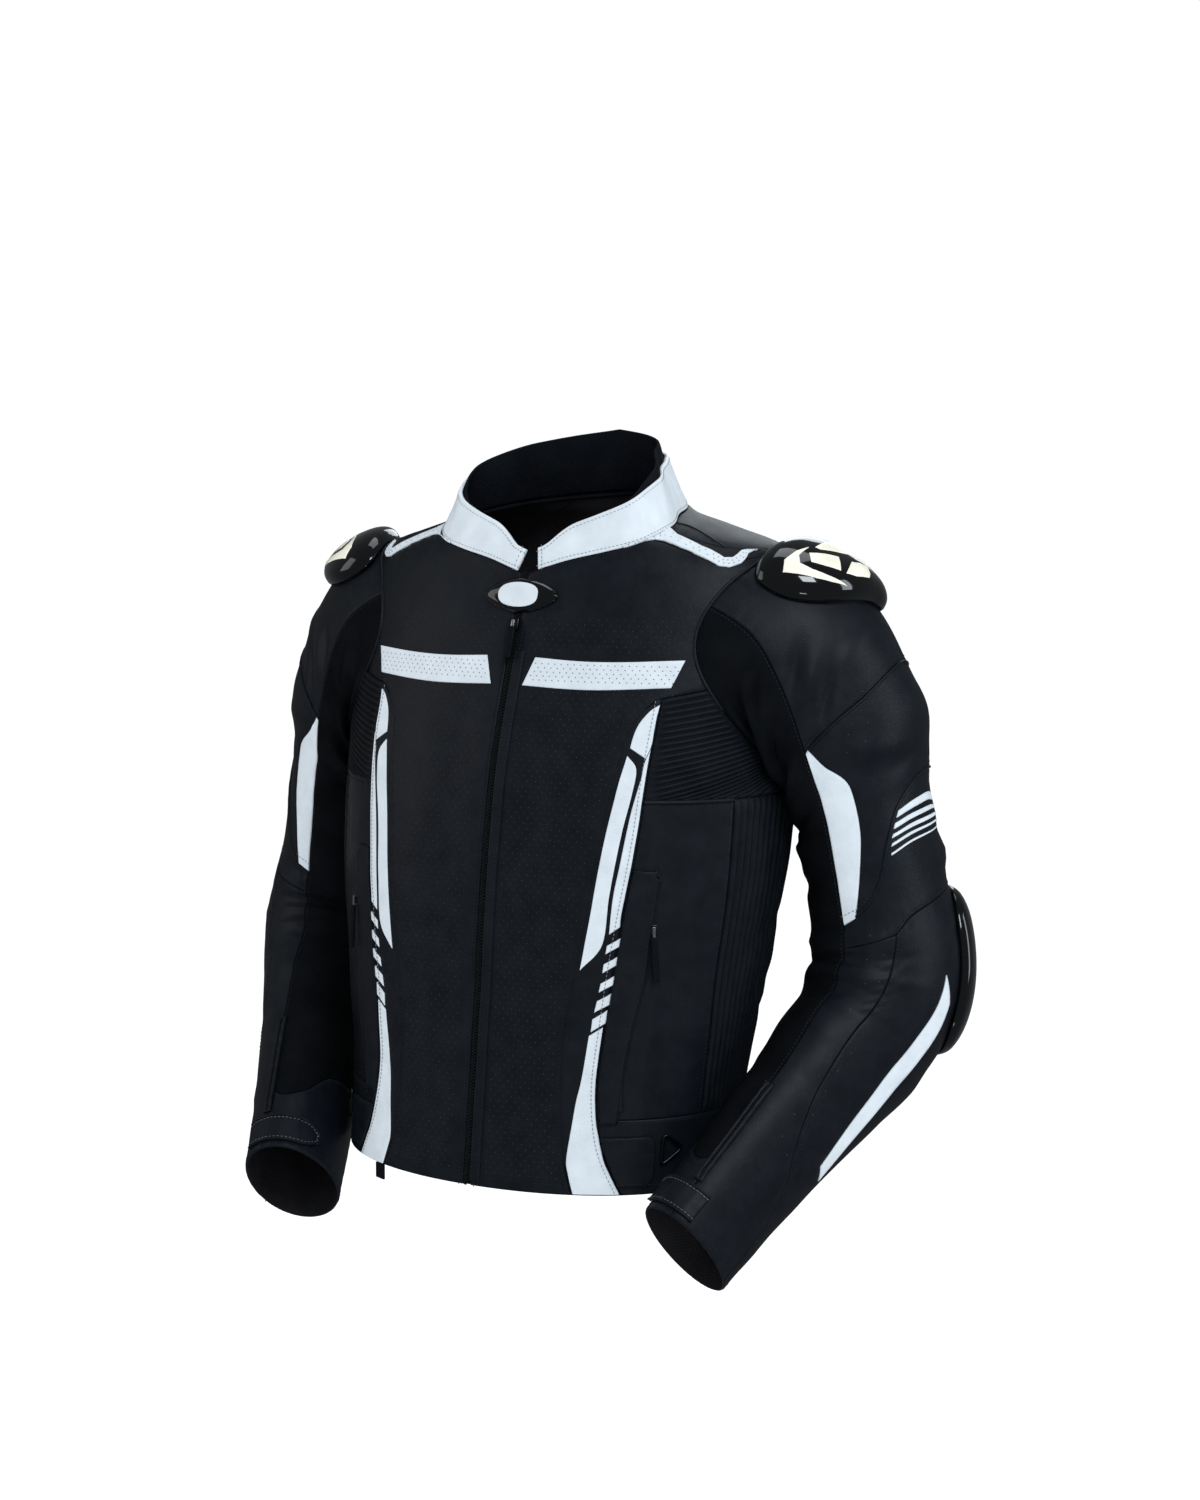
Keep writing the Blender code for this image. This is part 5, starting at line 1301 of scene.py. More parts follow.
# %% thin pieces that lie on a surface
def thin_patch(name, reader, first, second, n, mat, slot, lift, both=True):
    """A thin piece between two rows, its edges sunk a little; n is its count of steps."""
    g = coons(first, second, line(first[0], second[0], n), line(first[-1], second[-1], n))
    g = add_near(np.concatenate([g, np.zeros(g.shape[:2] + (1,))], -1), (0.0003, 0.0008))
    p, out = reader(g[..., 0], g[..., 1])
    r, c = p.shape[:2]
    q = p + out*(lift - lift*1.2*edge_weights(r, c, (1.0, 0.3, 0.0))[..., None])
    faces = grid_faces(r, c)
    if (corner_cross(p)*out[:-1, :-1]).sum() < 0:
        faces = faces[:, ::-1]
    for side, sign in both_sides(both):
        f = faces if sign == 1 else faces[:, ::-1]
        obj = mesh_object(name + side, q.reshape(-1, 3)*[sign, 1, 1], f, [mat])
        OTHERS.append((obj, "jacket", [], slot))
    print(name, r, "x", c)


# %% cream inlays on the cups, and the badge's plain plate
def inlay(name, reader, low, high, n, mat, both=True):
    """A plate let into a cup, between two rows that keep their corners."""
    low, high = (along(row, np.linspace(0, len(row) - 1, n[1] + 1)) for row in (low, high))
    thin_patch(name, reader, low, high, n[0], mat, "gloss_cup", 0.0004, both)


inlay("cup_inlay_corner", on_cup,
      [(-0.0094, 0.0188), (-0.0106, 0.0285), (-0.0089, 0.039), (-0.0021, 0.0465),
       (0.0119, 0.0368), (0.0179, 0.0307), (0.0234, 0.0225)],
      [(-0.0092, 0.019), (-0.008, 0.0262), (-0.0068, 0.0305), (-0.0017, 0.0353),
       (0.0055, 0.0338), (0.0127, 0.03), (0.0232, 0.0227)], (6, 36), cream)
inlay("cup_inlay_middle", on_cup, [(-0.0055, 0.024), (-0.001, 0.0155), (0.0035, 0.008)],
      [(0.0009, 0.03), (0.007, 0.0255), (0.0136, 0.019)], (8, 16), cream)
inlay("cup_inlay_low", on_cup, [(0.0085, 0.002), (0.01, -0.006), (0.0111, -0.0142)],
      [(0.016, 0.017), (0.0195, 0.01), (0.0208, -0.002)], (8, 16), cream)
inlay("cup_inlay_top", on_cup,
      [(-0.008, 0.015), (-0.0125, -0.006), (-0.01, -0.019), (0.001, -0.03)],
      [(-0.005, 0.014), (0.0005, -0.001), (0.003, -0.0105), (0.008, -0.025)], (8, 24), cream)
sweep = np.linspace(-math.pi/2, math.pi/2, 25)
rim = np.stack([0.0185*np.sin(sweep), 0.0102*np.cos(sweep)**0.7], -1)
inlay("badge_inlay", on_badge, rim*[1, -1], rim, (8, 32), white_leather, False)

# %% [markdown]
# ## Zips, pullers, pocket and waist tab
# A moulded zip shows two tapes and a row of teeth between the leather edges.  The slider
# carries a pin on which a flat puller swings, so each puller is a body of its own.

# %% metal, rubber and tape
rubber = mottled("soft_rubber", (0.004, 0.0045, 0.0055), 0.45, (0.0018, 0.0026, 0.004),
                 (0.004, 0.0052, 0.007), 900.0, 2.0, 0.0001, Specular_IOR_Level=0.08)
metal = polished("nickel", (0.42, 0.43, 0.45), 0.28, 1.0, 700.0, 0.2, 0.18)
dark_metal = polished("black_nickel", (0.045, 0.047, 0.05), 0.35, 1.0, 700.0, 0.2, 0.25)
tape = mottled("zip_tape", (0.004, 0.0045, 0.0055), 0.7, (0.003, 0.0035, 0.0045),
               (0.007, 0.0075, 0.009), 1500.0, 1.0, 0.0002, Specular_IOR_Level=0.08)
print("finishes:", rubber.name, metal.name, dark_metal.name, tape.name)


# %% zip line
def zip_line(n):
    """Heights down the middle of the front, from the hem to the collar."""
    return np.linspace(middle_heights[0] + 0.0005, middle_heights[-1] - 0.002, n + 1)


x, zz = np.meshgrid(np.linspace(-0.0034, 0.0034, 7), zip_line(150))
p, n = front_place(x, zz)
shell("zip_chain", p - n*0.001, n, 0.001, [tape, tape], both=False, drop=0.0002, near=(0.0002, 0.0004))


# %% small blocks
def solid_box(name, centre, axes, half, mat, bevel):
    """A small block with rounded edges; its place is baked into the mesh."""
    mesh = bpy.data.meshes.new(name)
    corners = np.array([(x, y, z) for x in (-1, 1) for y in (-1, 1) for z in (-1, 1)], float)
    v = (corners*half) @ np.asarray(axes, float) + centre
    f = [(0, 1, 3, 2), (4, 6, 7, 5), (0, 4, 5, 1), (2, 3, 7, 6), (0, 2, 6, 4), (1, 5, 7, 3)]
    if np.linalg.det(np.asarray(axes, float)) < 0:
        f = [q[::-1] for q in f]
    mesh.from_pydata(v.tolist(), [], f)
    mesh.materials.append(mat)
    obj = bpy.data.objects.new(name, mesh)
    bpy.context.scene.collection.objects.link(obj)
    soft = obj.modifiers.new("round", "BEVEL")
    soft.width = bevel
    soft.segments = 3
    mesh.shade_smooth()
    return obj


# %% sliders and their hanging pullers
def slider_and_pull(word, x, z, lean, slide, tag, both):
    """A slider on the jacket's body, and a puller that swings on its pin."""
    p, n = front_place(x, z)
    line_up = np.array([lean, 0, 1.0])
    up = unit(line_up - np.dot(n, line_up)*n)
    axes = np.array([np.cross(up, n), up, n])
    wide, tall, thick = tag
    pin = p + n*(LIFT + 2*slide[2] + GAP + thick) + up*0.0012
    low = p - up*slide[1]*0.15
    for side, sign in both_sides(both):
        flip = np.array([sign, 1, 1])
        ax = axes*flip
        centre = low + n*(LIFT + slide[2])
        half = (slide[0]*0.85, slide[1]*0.85, slide[2])
        body = solid_box(word + "_slider_body" + side, centre*flip, ax, half, dark_metal, 0.0009)
        centre = low - up*0.0012 + n*(LIFT + 2*slide[2] + 0.0002)
        half = (slide[0]*0.3, slide[1]*0.45, 0.0005)
        crown = solid_box(word + "_slider_bridge" + side, centre*flip, ax, half, dark_metal, 0.0004)
        centre = pin + up*(0.0006 - tall*0.13)
        half = (wide*0.45, tall*0.13, thick*0.35)
        link = solid_box(word + "_pull_link" + side, centre*flip, ax, half, metal, 0.0004)
        centre = pin + up*(0.0015 - tall*0.6)
        half = (wide, tall*0.4, thick)
        grip = solid_box(word + "_pull_grip" + side, centre*flip, ax, half, rubber, 0.0009)
        joint_body = word + "_pull" + side + "_tag"
        OTHERS.append((body, "jacket", [word + "_slider" + side], "metal"))
        OTHERS.append((crown, "jacket", [], "metal"))
        OTHERS.append((grip, joint_body, [word + "_pull" + side], "puller"))
        OTHERS.append((link, joint_body, [], "metal"))
    print(word, "slider at", [round(float(v), 4) for v in p])


WELT_INSET, WELT_WIDE = 0.003, 0.0155
pocket_x = float(table(INSERT, -0.33)[1]) + WELT_INSET + WELT_WIDE + 0.0046
slider_and_pull("zip", 0.0, -0.0905, 0.0, (0.0042, 0.0055, 0.0016), (0.0032, 0.034, 0.002), False)
slider_and_pull("pocket", pocket_x, -0.33, -0.05, (0.0036, 0.005, 0.0014), (0.0028, 0.046, 0.0016), True)

# %% pocket welt and waist tab
z = np.linspace(-0.48, -0.284, 60)
x = (table(INSERT, z)[..., 1] + WELT_INSET)[:, None] + WELT_WIDE*np.linspace(0, 1, 7)
p, n = front_place(x, z[:, None] + 0*x)
shell("pocket_welt", p + n*(LIFT + 0.002), n, 0.002, FACED, drop=0.0009)
z = np.linspace(-0.541, -0.501, 14)
x0 = table(INSERT, z)[..., 1] + 0.0008
x1 = 0.1465 - 0.004*np.abs(np.linspace(-1, 1, 14))**6
x = x0[:, None] + (x1 - x0)[:, None]*np.linspace(0, 1, 13)
p, n = front_place(x, z[:, None] + 0*x)
shell("waist_tab", p + n*(LIFT + 0.0022), n, 0.0022, FACED, drop=0.001)


# %% the waist tab's wire rings
def wire(name, points, radius, mat):
    """A round wire along a closed row of points, as a mesh."""
    m, sides = len(points), 10
    ahead = unit(np.roll(points, -1, 0) - np.roll(points, 1, 0))
    out = unit(points - points.mean(0))
    out = unit(out - (out*ahead).sum(-1, keepdims=True)*ahead)
    side = np.cross(ahead, out)
    a = 2*math.pi*np.arange(sides)/sides
    c, s = np.cos(a)[None, :, None], np.sin(a)[None, :, None]
    v = points[:, None] + radius*(c*out[:, None] + s*side[:, None])
    i, j = np.meshgrid(np.arange(m), np.arange(sides), indexing="ij")
    i2, j2 = (i + 1) % m, (j + 1) % sides
    f = np.stack([i*sides + j, i2*sides + j, i2*sides + j2, i*sides + j2], -1).reshape(-1, 4)
    v = v.reshape(-1, 3)
    nrm = np.cross(v[f[0][1]] - v[f[0][0]], v[f[0][3]] - v[f[0][0]])
    if np.dot(nrm, v[f[0]].mean(0) - points[0]) < 0:
        f = f[:, ::-1]
    return mesh_object(name, v, f, [mat])


corners = np.array([(0.0, 0.013), (0.02, 0.0), (0.0, -0.013)])
pts = []
for i in range(3):
    a, b, c = corners[i - 1], corners[i], corners[(i + 1) % 3]
    for t in np.linspace(0, 1, 7):
        u = b + (a - b)*0.22*(1 - t)
        w = b + (c - b)*0.22*t
        pts.append((1 - t)*u + t*w)
pts = np.array(pts)
p = trunk_point(57.3 + np.degrees(pts[:, 0]/0.155), -0.512 + pts[:, 1])
n = trunk_normal(p)
for side, sign in both_sides(True):
    obj = wire("waist_wire" + side, (p + n*0.0022)*[sign, 1, 1], 0.0014, dark_metal)
    OTHERS.append((obj, "jacket", ["waist_ring" + side], "metal"))
print("wire rings of", len(pts), "points")

# %% the short folded tape below the hem, on the jacket's right
p, n = front_place(-0.098, HEM)
side_way = unit(np.cross([0, 0, 1.0], n))
down_way = np.array([0, 0, -1.0])
mid = p - n*0.0012 + down_way*(0.0066 + GAP/2)
folded = solid_box("hem_tape", mid, np.array([side_way, down_way, np.cross(side_way, down_way)]),
                   (0.0058, 0.0066, 0.0011), rubber, 0.0005)
OTHERS.append((folded, "jacket", ["hem_loop"], "puller"))
print("hem tape at", [round(float(v), 3) for v in mid])

# %% cuff zip and closing tab
s = np.linspace(0.5, 0.6, 34)
t = np.linspace(-5.5, 5.5, 25)
p, n = sleeve_point(s[:, None] + 0*t, table(EDGE, s)[..., 0][:, None] + t)
lips = np.abs(np.sin(np.linspace(-1, 1, 25)*math.pi))**0.7
close = 1 - (2*(s - 0.55)/0.1)**8
hump = 0.0012 + 0.002*lips[None]*close[:, None]
shell("cuff_zip", p + n*(LIFT + hump)[..., None], n, hump, FACED, drop=0.0006)
turn = np.linspace(58, 148, 36)
half = 0.0125*(1 - 0.72*np.clip((turn - 122)/26, 0, 1)**2.6)
v = np.linspace(-1, 1, 9)
p, n = sleeve_point(0.618 + v[:, None]*half, turn[None] + 0*v[:, None])
shell("cuff_tab", p + n*(LIFT + 0.0022), n, 0.0022, FACED, drop=0.0009)

# %% [markdown]
# ## Pale pieces sewn onto the panels
# The white leather is appliqué: thin pieces laid on the panels and stitched down.  Each one
# is four rows of places on the surface below it, lifted by its own thickness, with its edge
# pressed down.  Slanted bars break the long strips up.


# %% a sewn-on piece between two long edges
SLOT_OF = {black_leather: "black_leather", white_leather: "white_leather", stretch: "stretch_knit"}


def strip_between(name, reader, first, second, n, mat, lift, both=True, smooth=True):
    """An appliqué piece between two long edges; n counts the steps across and along."""
    if smooth:
        first, second = curve(first, n[1]), curve(second, n[1])
    else:
        at = np.linspace(0, len(first) - 1, n[1] + 1)
        first, second = along(first, at), along(second, at)
    thin_patch(name, reader, first, second, n[0], mat, SLOT_OF[mat], lift, both)


# %% the black base of the strip, from its curved front seam to the side panel
SEAM = np.array([
    (-0.5475, 0.091), (-0.5355, 0.087), (-0.5195, 0.0825), (-0.49, 0.0795), (-0.4685, 0.078),
    (-0.436, 0.0775), (-0.4115, 0.079), (-0.3815, 0.0835), (-0.354, 0.088), (-0.3185, 0.0935),
    (-0.281, 0.0975), (-0.249, 0.102), (-0.217, 0.1065), (-0.189, 0.1105), (-0.1745, 0.1135),
    (-0.16, 0.12), (-0.15, 0.13), (-0.1478, 0.1335)])
z = np.linspace(SEAM[0, 0], -0.1485, 130)
first = np.stack([table(SEAM, z)[..., 0], z], -1)
second = np.stack([table(INSERT, z)[..., 1] - 0.0009, z], -1)
strip_between("side_insert_face", front_place, first, second, (12, 129), black_leather, 0.0008,
              smooth=False)


# %% white strips, bars and the flare at the hem
def outer_x(z, by=0.0011):
    """A little inside the insert's outer edge."""
    return float(table(INSERT, np.array(z))[..., 1]) - by


def white_strip(name, first, second, n, smooth=True):
    """A pale piece on the front."""
    strip_between(name, front_place, first, second, n, white_leather, 0.0014, smooth=smooth)


white_strip("strip_white_top",
            [(0.1338, -0.152), (0.127, -0.157), (0.1205, -0.1665), (0.1175, -0.176), (0.116, -0.1865)],
            [(0.1338, -0.152), *[(outer_x(z), z) for z in (-0.16, -0.172, -0.185)], (0.129, -0.195)],
            (10, 30))
edge = [(0.129, -0.195), (0.1277, -0.2015), (0.1272, -0.2085), (0.125, -0.22), (0.1222, -0.2345),
        (0.12, -0.2495), (0.116, -0.2805), (0.113, -0.3015), (0.1115, -0.32), (0.1108, -0.3355)]
beside = [(outer_x(z - 0.001), z) for _, z in edge[1:-1]]
white_strip("strip_white_outer", edge, [(outer_x(-0.187), -0.187), *beside, (0.119, -0.329)], (6, 60))
white_strip("strip_white_inner",
            [(0.115, -0.1925), (0.111, -0.2115), (0.108, -0.23), (0.1038, -0.2565),
             (0.0998, -0.2875), (0.0962, -0.3185), (0.0925, -0.343), (0.0895, -0.365)],
            [(0.115, -0.1925), (0.123, -0.203), (0.1215, -0.2245), (0.117, -0.251),
             (0.113, -0.2805), (0.11, -0.306), (0.1062, -0.344), (0.0895, -0.365)], (10, 60))

# %% slanted bars, and the flare at the hem
BARS = [[(0.1085, -0.3515), (0.119, -0.3448), (0.1198, -0.3376), (0.1095, -0.344)],
        [(0.1065, -0.367), (0.1172, -0.36), (0.118, -0.3528), (0.1075, -0.359)],
        [(0.104, -0.383), (0.1154, -0.376), (0.1164, -0.3682), (0.1055, -0.375)],
        [(0.101, -0.3995), (0.1128, -0.3925), (0.1138, -0.383), (0.103, -0.3895)],
        [(0.099, -0.4155), (0.1104, -0.4075), (0.1114, -0.3966), (0.1, -0.4045)]]
for i, (a, b, c, d) in enumerate(BARS):
    white_strip("strip_bar_%d" % (i + 1), [a, b], [d, c], (5, 6), smooth=False)
flare_in = [(0.0978, -0.418), (0.095, -0.4405), (0.0925, -0.458), (0.0898, -0.472), (0.0875, -0.492),
            (0.0848, -0.519), (0.0868, -0.531), (0.0905, -0.544), (0.0915, -0.547)]
flare_out = [(outer_x(z), z) for z in (-0.4105, -0.435, -0.455, -0.472, -0.492,
                                       -0.517, -0.53, -0.5435, -0.547)]
white_strip("strip_white_flare", flare_in, flare_out, (12, 50))

# %% the pale trim from the collar down over the shoulder, with its upturned tip
TRIM_EDGE = np.array([
    (27.5, -0.0146), (35, -0.0021), (40.5, 0.0029), (43, -0.0009), (45, -0.0171), (47, -0.0288),
    (50, -0.0345), (52.5, -0.0396), (56, -0.0408), (60.5, -0.0375), (66, -0.0292), (72, -0.0256)])
TRIM_TOP = np.concatenate([neck_place(np.array([27.6, 38, 48])), [
    (57, 0.0432), (52, 0.015), (52.3, -0.013), (54, -0.0275), (55.5, -0.0325),
    (58.5, -0.0325), (62, -0.029), (66.5, -0.0245), (72, -0.025)]])
strip_between("shoulder_trim_face", trunk_on, TRIM_EDGE, TRIM_TOP, (8, 66), white_leather, 0.0012,
              smooth=False)

# %% plain slanted bars: on the chest, on the upper arm and along the forearm
strip_between("chest_bar", front_place, [(0.015, -0.14), (0.075, -0.1415), (0.14, -0.1385)],
              [(0.023, -0.117), (0.08, -0.119), (0.1475, -0.1165)], (8, 40), white_leather, 0.0007)
ARM_BARS = [
    [(0.1975, 34.5), (0.195, 17.5), (0.194, -5.0), (0.1955, -18)],
    [(0.1935, 31.5), (0.1905, 14.5), (0.1895, -9.5), (0.191, -20)],
    [(0.204, 38.5), (0.201, 20.0), (0.2, -6.5), (0.201, -19)],
    [(0.2005, 36.5), (0.198, 18.5), (0.1975, -7.0), (0.1985, -20)],
    [(0.2105, 41.5), (0.2065, 21.5), (0.205, -8.5), (0.2055, -19)],
    [(0.2075, 39.5), (0.2037, 20.5), (0.203, -9.0), (0.2035, -20)],
    [(0.217, 43.0), (0.212, 22.5), (0.21, -8.5), (0.2102, -19)],
    [(0.2145, 41.5), (0.2098, 22.0), (0.2085, -8.5), (0.2088, -20)],
    [(0.224, 44.0), (0.218, 24.0), (0.2157, -7.0), (0.2153, -19)],
    [(0.2222, 43.5), (0.2163, 23.5), (0.2146, -7.0), (0.2143, -20)]]
for i, (a, b) in enumerate(zip(ARM_BARS[::2], ARM_BARS[1::2])):
    strip_between("arm_bar_%d" % (i + 1), sleeve_on, a, b, (4, 30), white_leather, 0.0007)
strip_between("forearm_bar", sleeve_on,
              [(0.35, 2.0), (0.394, -1.0), (0.43, -6.0), (0.47, -14.0), (0.52, -26.0)],
              [(0.33, 14.0), (0.383, 17.0), (0.425, 12.0), (0.47, 3.0), (0.515, -9.0)], (8, 44),
              white_leather, 0.0007)


# %% [markdown]
# ## Stitching
# Topstitching is a row of short threads of equal length, each half sunk in the leather.  A
# Geometry Nodes tree lays one small thread per step on any row of points, and realizes them
# into one plain mesh.  Rows are read off the edges of the shells, a few millimetres inside.


# %% a tree that lays a thread, tooth or dot on every step of a row
ITEM_SIZES = {"Pitch": 0.0034, "Long": 0.0026, "Wide": 0.0007, "High": 0.0006}


def item_tree(name, shape):
    """A Geometry Nodes tree with named inputs for the step, the item's size and its finish."""
    tree = bpy.data.node_groups.new(name, "GeometryNodeTree")
    face = tree.interface
    face.new_socket("Geometry", in_out="INPUT", socket_type="NodeSocketGeometry")
    for word, value in ITEM_SIZES.items():
        face.new_socket(word, in_out="INPUT", socket_type="NodeSocketFloat").default_value = value
    face.new_socket("Finish", in_out="INPUT", socket_type="NodeSocketMaterial")
    face.new_socket("Geometry", in_out="OUTPUT", socket_type="NodeSocketGeometry")
    add, link = tree.nodes.new, tree.links.new
    gin, gout = add("NodeGroupInput"), add("NodeGroupOutput")
    place = add("GeometryNodeInstanceOnPoints")
    size = add("ShaderNodeCombineXYZ")
    for axis, word in (("X", "Long"), ("Y", "Wide"), ("Z", "High")):
        link(gin.outputs[word], size.inputs[axis])
    link(size.outputs[0], place.inputs["Scale"])
    normal = add("GeometryNodeInputNamedAttribute")
    normal.data_type = "FLOAT_VECTOR"
    normal.inputs["Name"].default_value = "out"
    turn = add("FunctionNodeAlignRotationToVector")
    turn.axis = "Z"
    link(normal.outputs[0], turn.inputs["Vector"])
    if shape == "dot":
        link(gin.outputs["Geometry"], place.inputs["Points"])
        link(turn.outputs[0], place.inputs["Rotation"])
        item = add("GeometryNodeMeshCircle")
        item.fill_type = "TRIANGLE_FAN"
        item.inputs["Vertices"].default_value = 7
        item.inputs["Radius"].default_value = 0.5
    else:
        to_curve, even = add("GeometryNodeMeshToCurve"), add("GeometryNodeResampleCurve")
        even.mode = "LENGTH"
        link(gin.outputs["Geometry"], to_curve.inputs["Mesh"])
        link(to_curve.outputs["Curve"], even.inputs["Curve"])
        link(gin.outputs["Pitch"], even.inputs["Length"])
        link(even.outputs["Curve"], place.inputs["Points"])
        tangent, ahead = add("GeometryNodeInputTangent"), add("FunctionNodeAlignRotationToVector")
        ahead.axis = "X"
        ahead.pivot_axis = "Z"
        link(turn.outputs[0], ahead.inputs["Rotation"])
        link(tangent.outputs[0], ahead.inputs["Vector"])
        link(ahead.outputs[0], place.inputs["Rotation"])
        if shape == "thread":
            item = add("GeometryNodeMeshUVSphere")
            item.inputs["Segments"].default_value = 6
            item.inputs["Rings"].default_value = 4
            item.inputs["Radius"].default_value = 0.5
        else:
            item = add("GeometryNodeMeshCube")
    link(item.outputs["Mesh"], place.inputs["Instance"])
    real, paint = add("GeometryNodeRealizeInstances"), add("GeometryNodeSetMaterial")
    smooth = add("GeometryNodeSetShadeSmooth")
    link(place.outputs["Instances"], real.inputs["Geometry"])
    link(real.outputs["Geometry"], smooth.inputs["Geometry"])
    smooth.inputs["Shade Smooth"].default_value = shape == "thread"
    link(smooth.outputs["Geometry"], paint.inputs["Geometry"])
    link(gin.outputs["Finish"], paint.inputs["Material"])
    link(paint.outputs["Geometry"], gout.inputs["Geometry"])
    return tree


TREES = {shape: item_tree(shape + "_rows", shape) for shape in ("thread", "tooth", "dot")}
print("trees:", [tree.name for tree in TREES.values()])


# %% laying a set of rows
def lay(name, shape, rows, mat, both=True, **sizes):
    """Lay items along rows of (points, normals), as one plain object."""
    verts, edges, outs = [], [], []
    for p, n in rows:
        p, n = np.asarray(p, float).reshape(-1, 3), np.asarray(n, float).reshape(-1, 3)
        for sign in ((1, -1) if both else (1,)):
            start = len(verts)
            verts += (p*[sign, 1, 1]).tolist()
            outs += (n*[sign, 1, 1]).tolist()
            if shape != "dot":
                edges += [(start + i, start + i + 1) for i in range(len(p) - 1)]
    mesh = bpy.data.meshes.new(name)
    mesh.from_pydata(verts, edges, [])
    layer = mesh.attributes.new("out", "FLOAT_VECTOR", "POINT")
    layer.data.foreach_set("vector", np.asarray(outs, float).ravel())
    obj = bpy.data.objects.new(name, mesh)
    bpy.context.scene.collection.objects.link(obj)
    mod = obj.modifiers.new("items", "NODES")
    mod.node_group = TREES[shape]
    values = {**ITEM_SIZES, "Finish": mat, **sizes}
    for item in TREES[shape].interface.items_tree:
        if item.item_type == "SOCKET" and item.in_out == "INPUT" and item.name in values:
            mod[item.identifier] = values[item.name]
    graph = bpy.context.evaluated_depsgraph_get()
    graph.update()
    plain = bpy.data.meshes.new_from_object(obj.evaluated_get(graph))
    obj.modifiers.remove(mod)
    obj.data = plain
    plain.name = name
    if not plain.materials:
        plain.materials.append(mat)
    OTHERS.append((obj, "jacket", [], "black_leather"))
    print(name, len(plain.polygons), "faces")


# %% rows beside the edges of a shell, and rows through places on a surface
def edge_row(word, side, depth, start=0.0, stop=1.0, lift=0.00012):
    """Points at a given distance inside one edge of a shell's grid."""
    p, n = GRIDS[word]
    if side in ("low", "high"):
        p, n = p.transpose(1, 0, 2), n.transpose(1, 0, 2)
    if side in ("right", "high"):
        p, n = p[:, ::-1], n[:, ::-1]
    steps = np.linalg.norm(np.diff(p, axis=1), axis=-1)
    run = np.concatenate([np.zeros((len(p), 1)), np.cumsum(steps, 1)], 1)
    pts, nrm = [], []
    first, last = int(round(start*(len(p) - 1))), int(round(stop*(len(p) - 1)))
    for i in range(first, last + 1):
        pts.append([np.interp(depth, run[i], p[i, :, c]) for c in range(3)])
        nrm.append([np.interp(depth, run[i], n[i, :, c]) for c in range(3)])
    pts, nrm = np.array(pts), unit(np.array(nrm))
    return pts + nrm*lift, nrm


def edge_rows(*specs):
    """Several rows, each given by what edge_row takes."""
    return [edge_row(*spec) for spec in specs]


def place_row(reader, places, lift, n=None):
    """A row through places on a surface; with n it is a smooth curve of n steps."""
    places = np.asarray(places, float) if n is None else curve(places, n)
    p, m = reader(places[:, 0], places[:, 1])
    return p + m*lift, m


# %% thread
thread_black = mottled("thread_black", (0.01, 0.012, 0.016), 0.5, (0.007, 0.009, 0.012),
                       (0.013, 0.016, 0.021), 2200.0, Specular_IOR_Level=0.2)
thread_grey = mottled("thread_grey", (0.16, 0.17, 0.18), 0.5, (0.12, 0.13, 0.14),
                      (0.22, 0.23, 0.24), 2200.0)
print("threads:", thread_black.name, thread_grey.name)

# %% [markdown]
# ## Facing, corded seams and the pocket flap
# Two panels of thick leather meet in a raised line, because the seam's edges are folded back
# under it.  A thin round cord, half sunk along the seam, gives that line.  Each set of cords
# is one mesh: a ring of corners at every point of the row, with its ends drawn in.

# %% the facing beside the zip
z = np.linspace(-0.5445, -0.112, 150)
inner, outer = (np.stack([x + 0*z, z], -1) for x in (0.003, 0.0128))
strip_between("zip_facing", front_place, inner, outer, (5, 149), black_leather, 0.0014, both=False,
              smooth=False)


# %% cords
def cord(name, rows, radius, mat, both=True, sides=8):
    """Thin covered cords along rows of (points, normals), one object for the whole set."""
    verts, faces = [], []
    turn = 2*math.pi*np.arange(sides)/sides
    for p, n in rows:
        ahead = unit(np.gradient(p, axis=0))
        side = unit(np.cross(n, ahead))
        up = np.cross(ahead, side)
        m = len(p)
        thin = np.ones(m)
        thin[0] = thin[-1] = 0.35
        c, s = np.cos(turn)[None, :, None], np.sin(turn)[None, :, None]
        ring = p[:, None] + radius*thin[:, None, None]*(c*side[:, None] + s*up[:, None])
        i, j = np.meshgrid(np.arange(m - 1), np.arange(sides), indexing="ij")
        k = (j + 1) % sides
        f = np.stack([i*sides + j, i*sides + k, (i + 1)*sides + k, (i + 1)*sides + j], -1)
        f = f.reshape(-1, 4).tolist()
        f += [list(range(sides))[::-1], [(m - 1)*sides + q for q in range(sides)]]
        for sign in ((1, -1) if both else (1,)):
            base = len(verts)
            v = ring.reshape(-1, 3)*[sign, 1, 1]
            t = v[[f[0][0], f[0][1], f[0][2]]]
            outward = np.dot(np.cross(t[1] - t[0], t[2] - t[1]), t.mean(0) - p[0]*[sign, 1, 1])
            verts += v.tolist()
            faces += [[base + q for q in (g if outward > 0 else g[::-1])] for g in f]
    obj = mesh_object(name, np.array(verts), faces, [mat])
    OTHERS.append((obj, "jacket", [], "black_leather"))
    print(name, len(faces), "faces")


# %% cords on the seams of the panels
def edge_cord(name, word, edges, depth, radius):
    """Cords half sunk along the edges of a shell."""
    rows = [edge_row(word, side, depth, 0.0, 1.0, 0.0) for side in edges]
    cord(name, [(p + n*(radius*0.15), n) for p, n in rows], radius, black_leather)


edge_cord("cuff_tab_cord", "cuff_tab", ("low", "high", "right"), 0.0006, 0.0009)
edge_cord("biceps_cord", "sleeve_mid", ("low",), 0.0008, 0.0013)
edge_cord("triceps_cord", "sleeve_mid", ("high",), 0.0008, 0.0013)
edge_cord("side_cord", "side_panel", ("high",), 0.001, 0.0019)

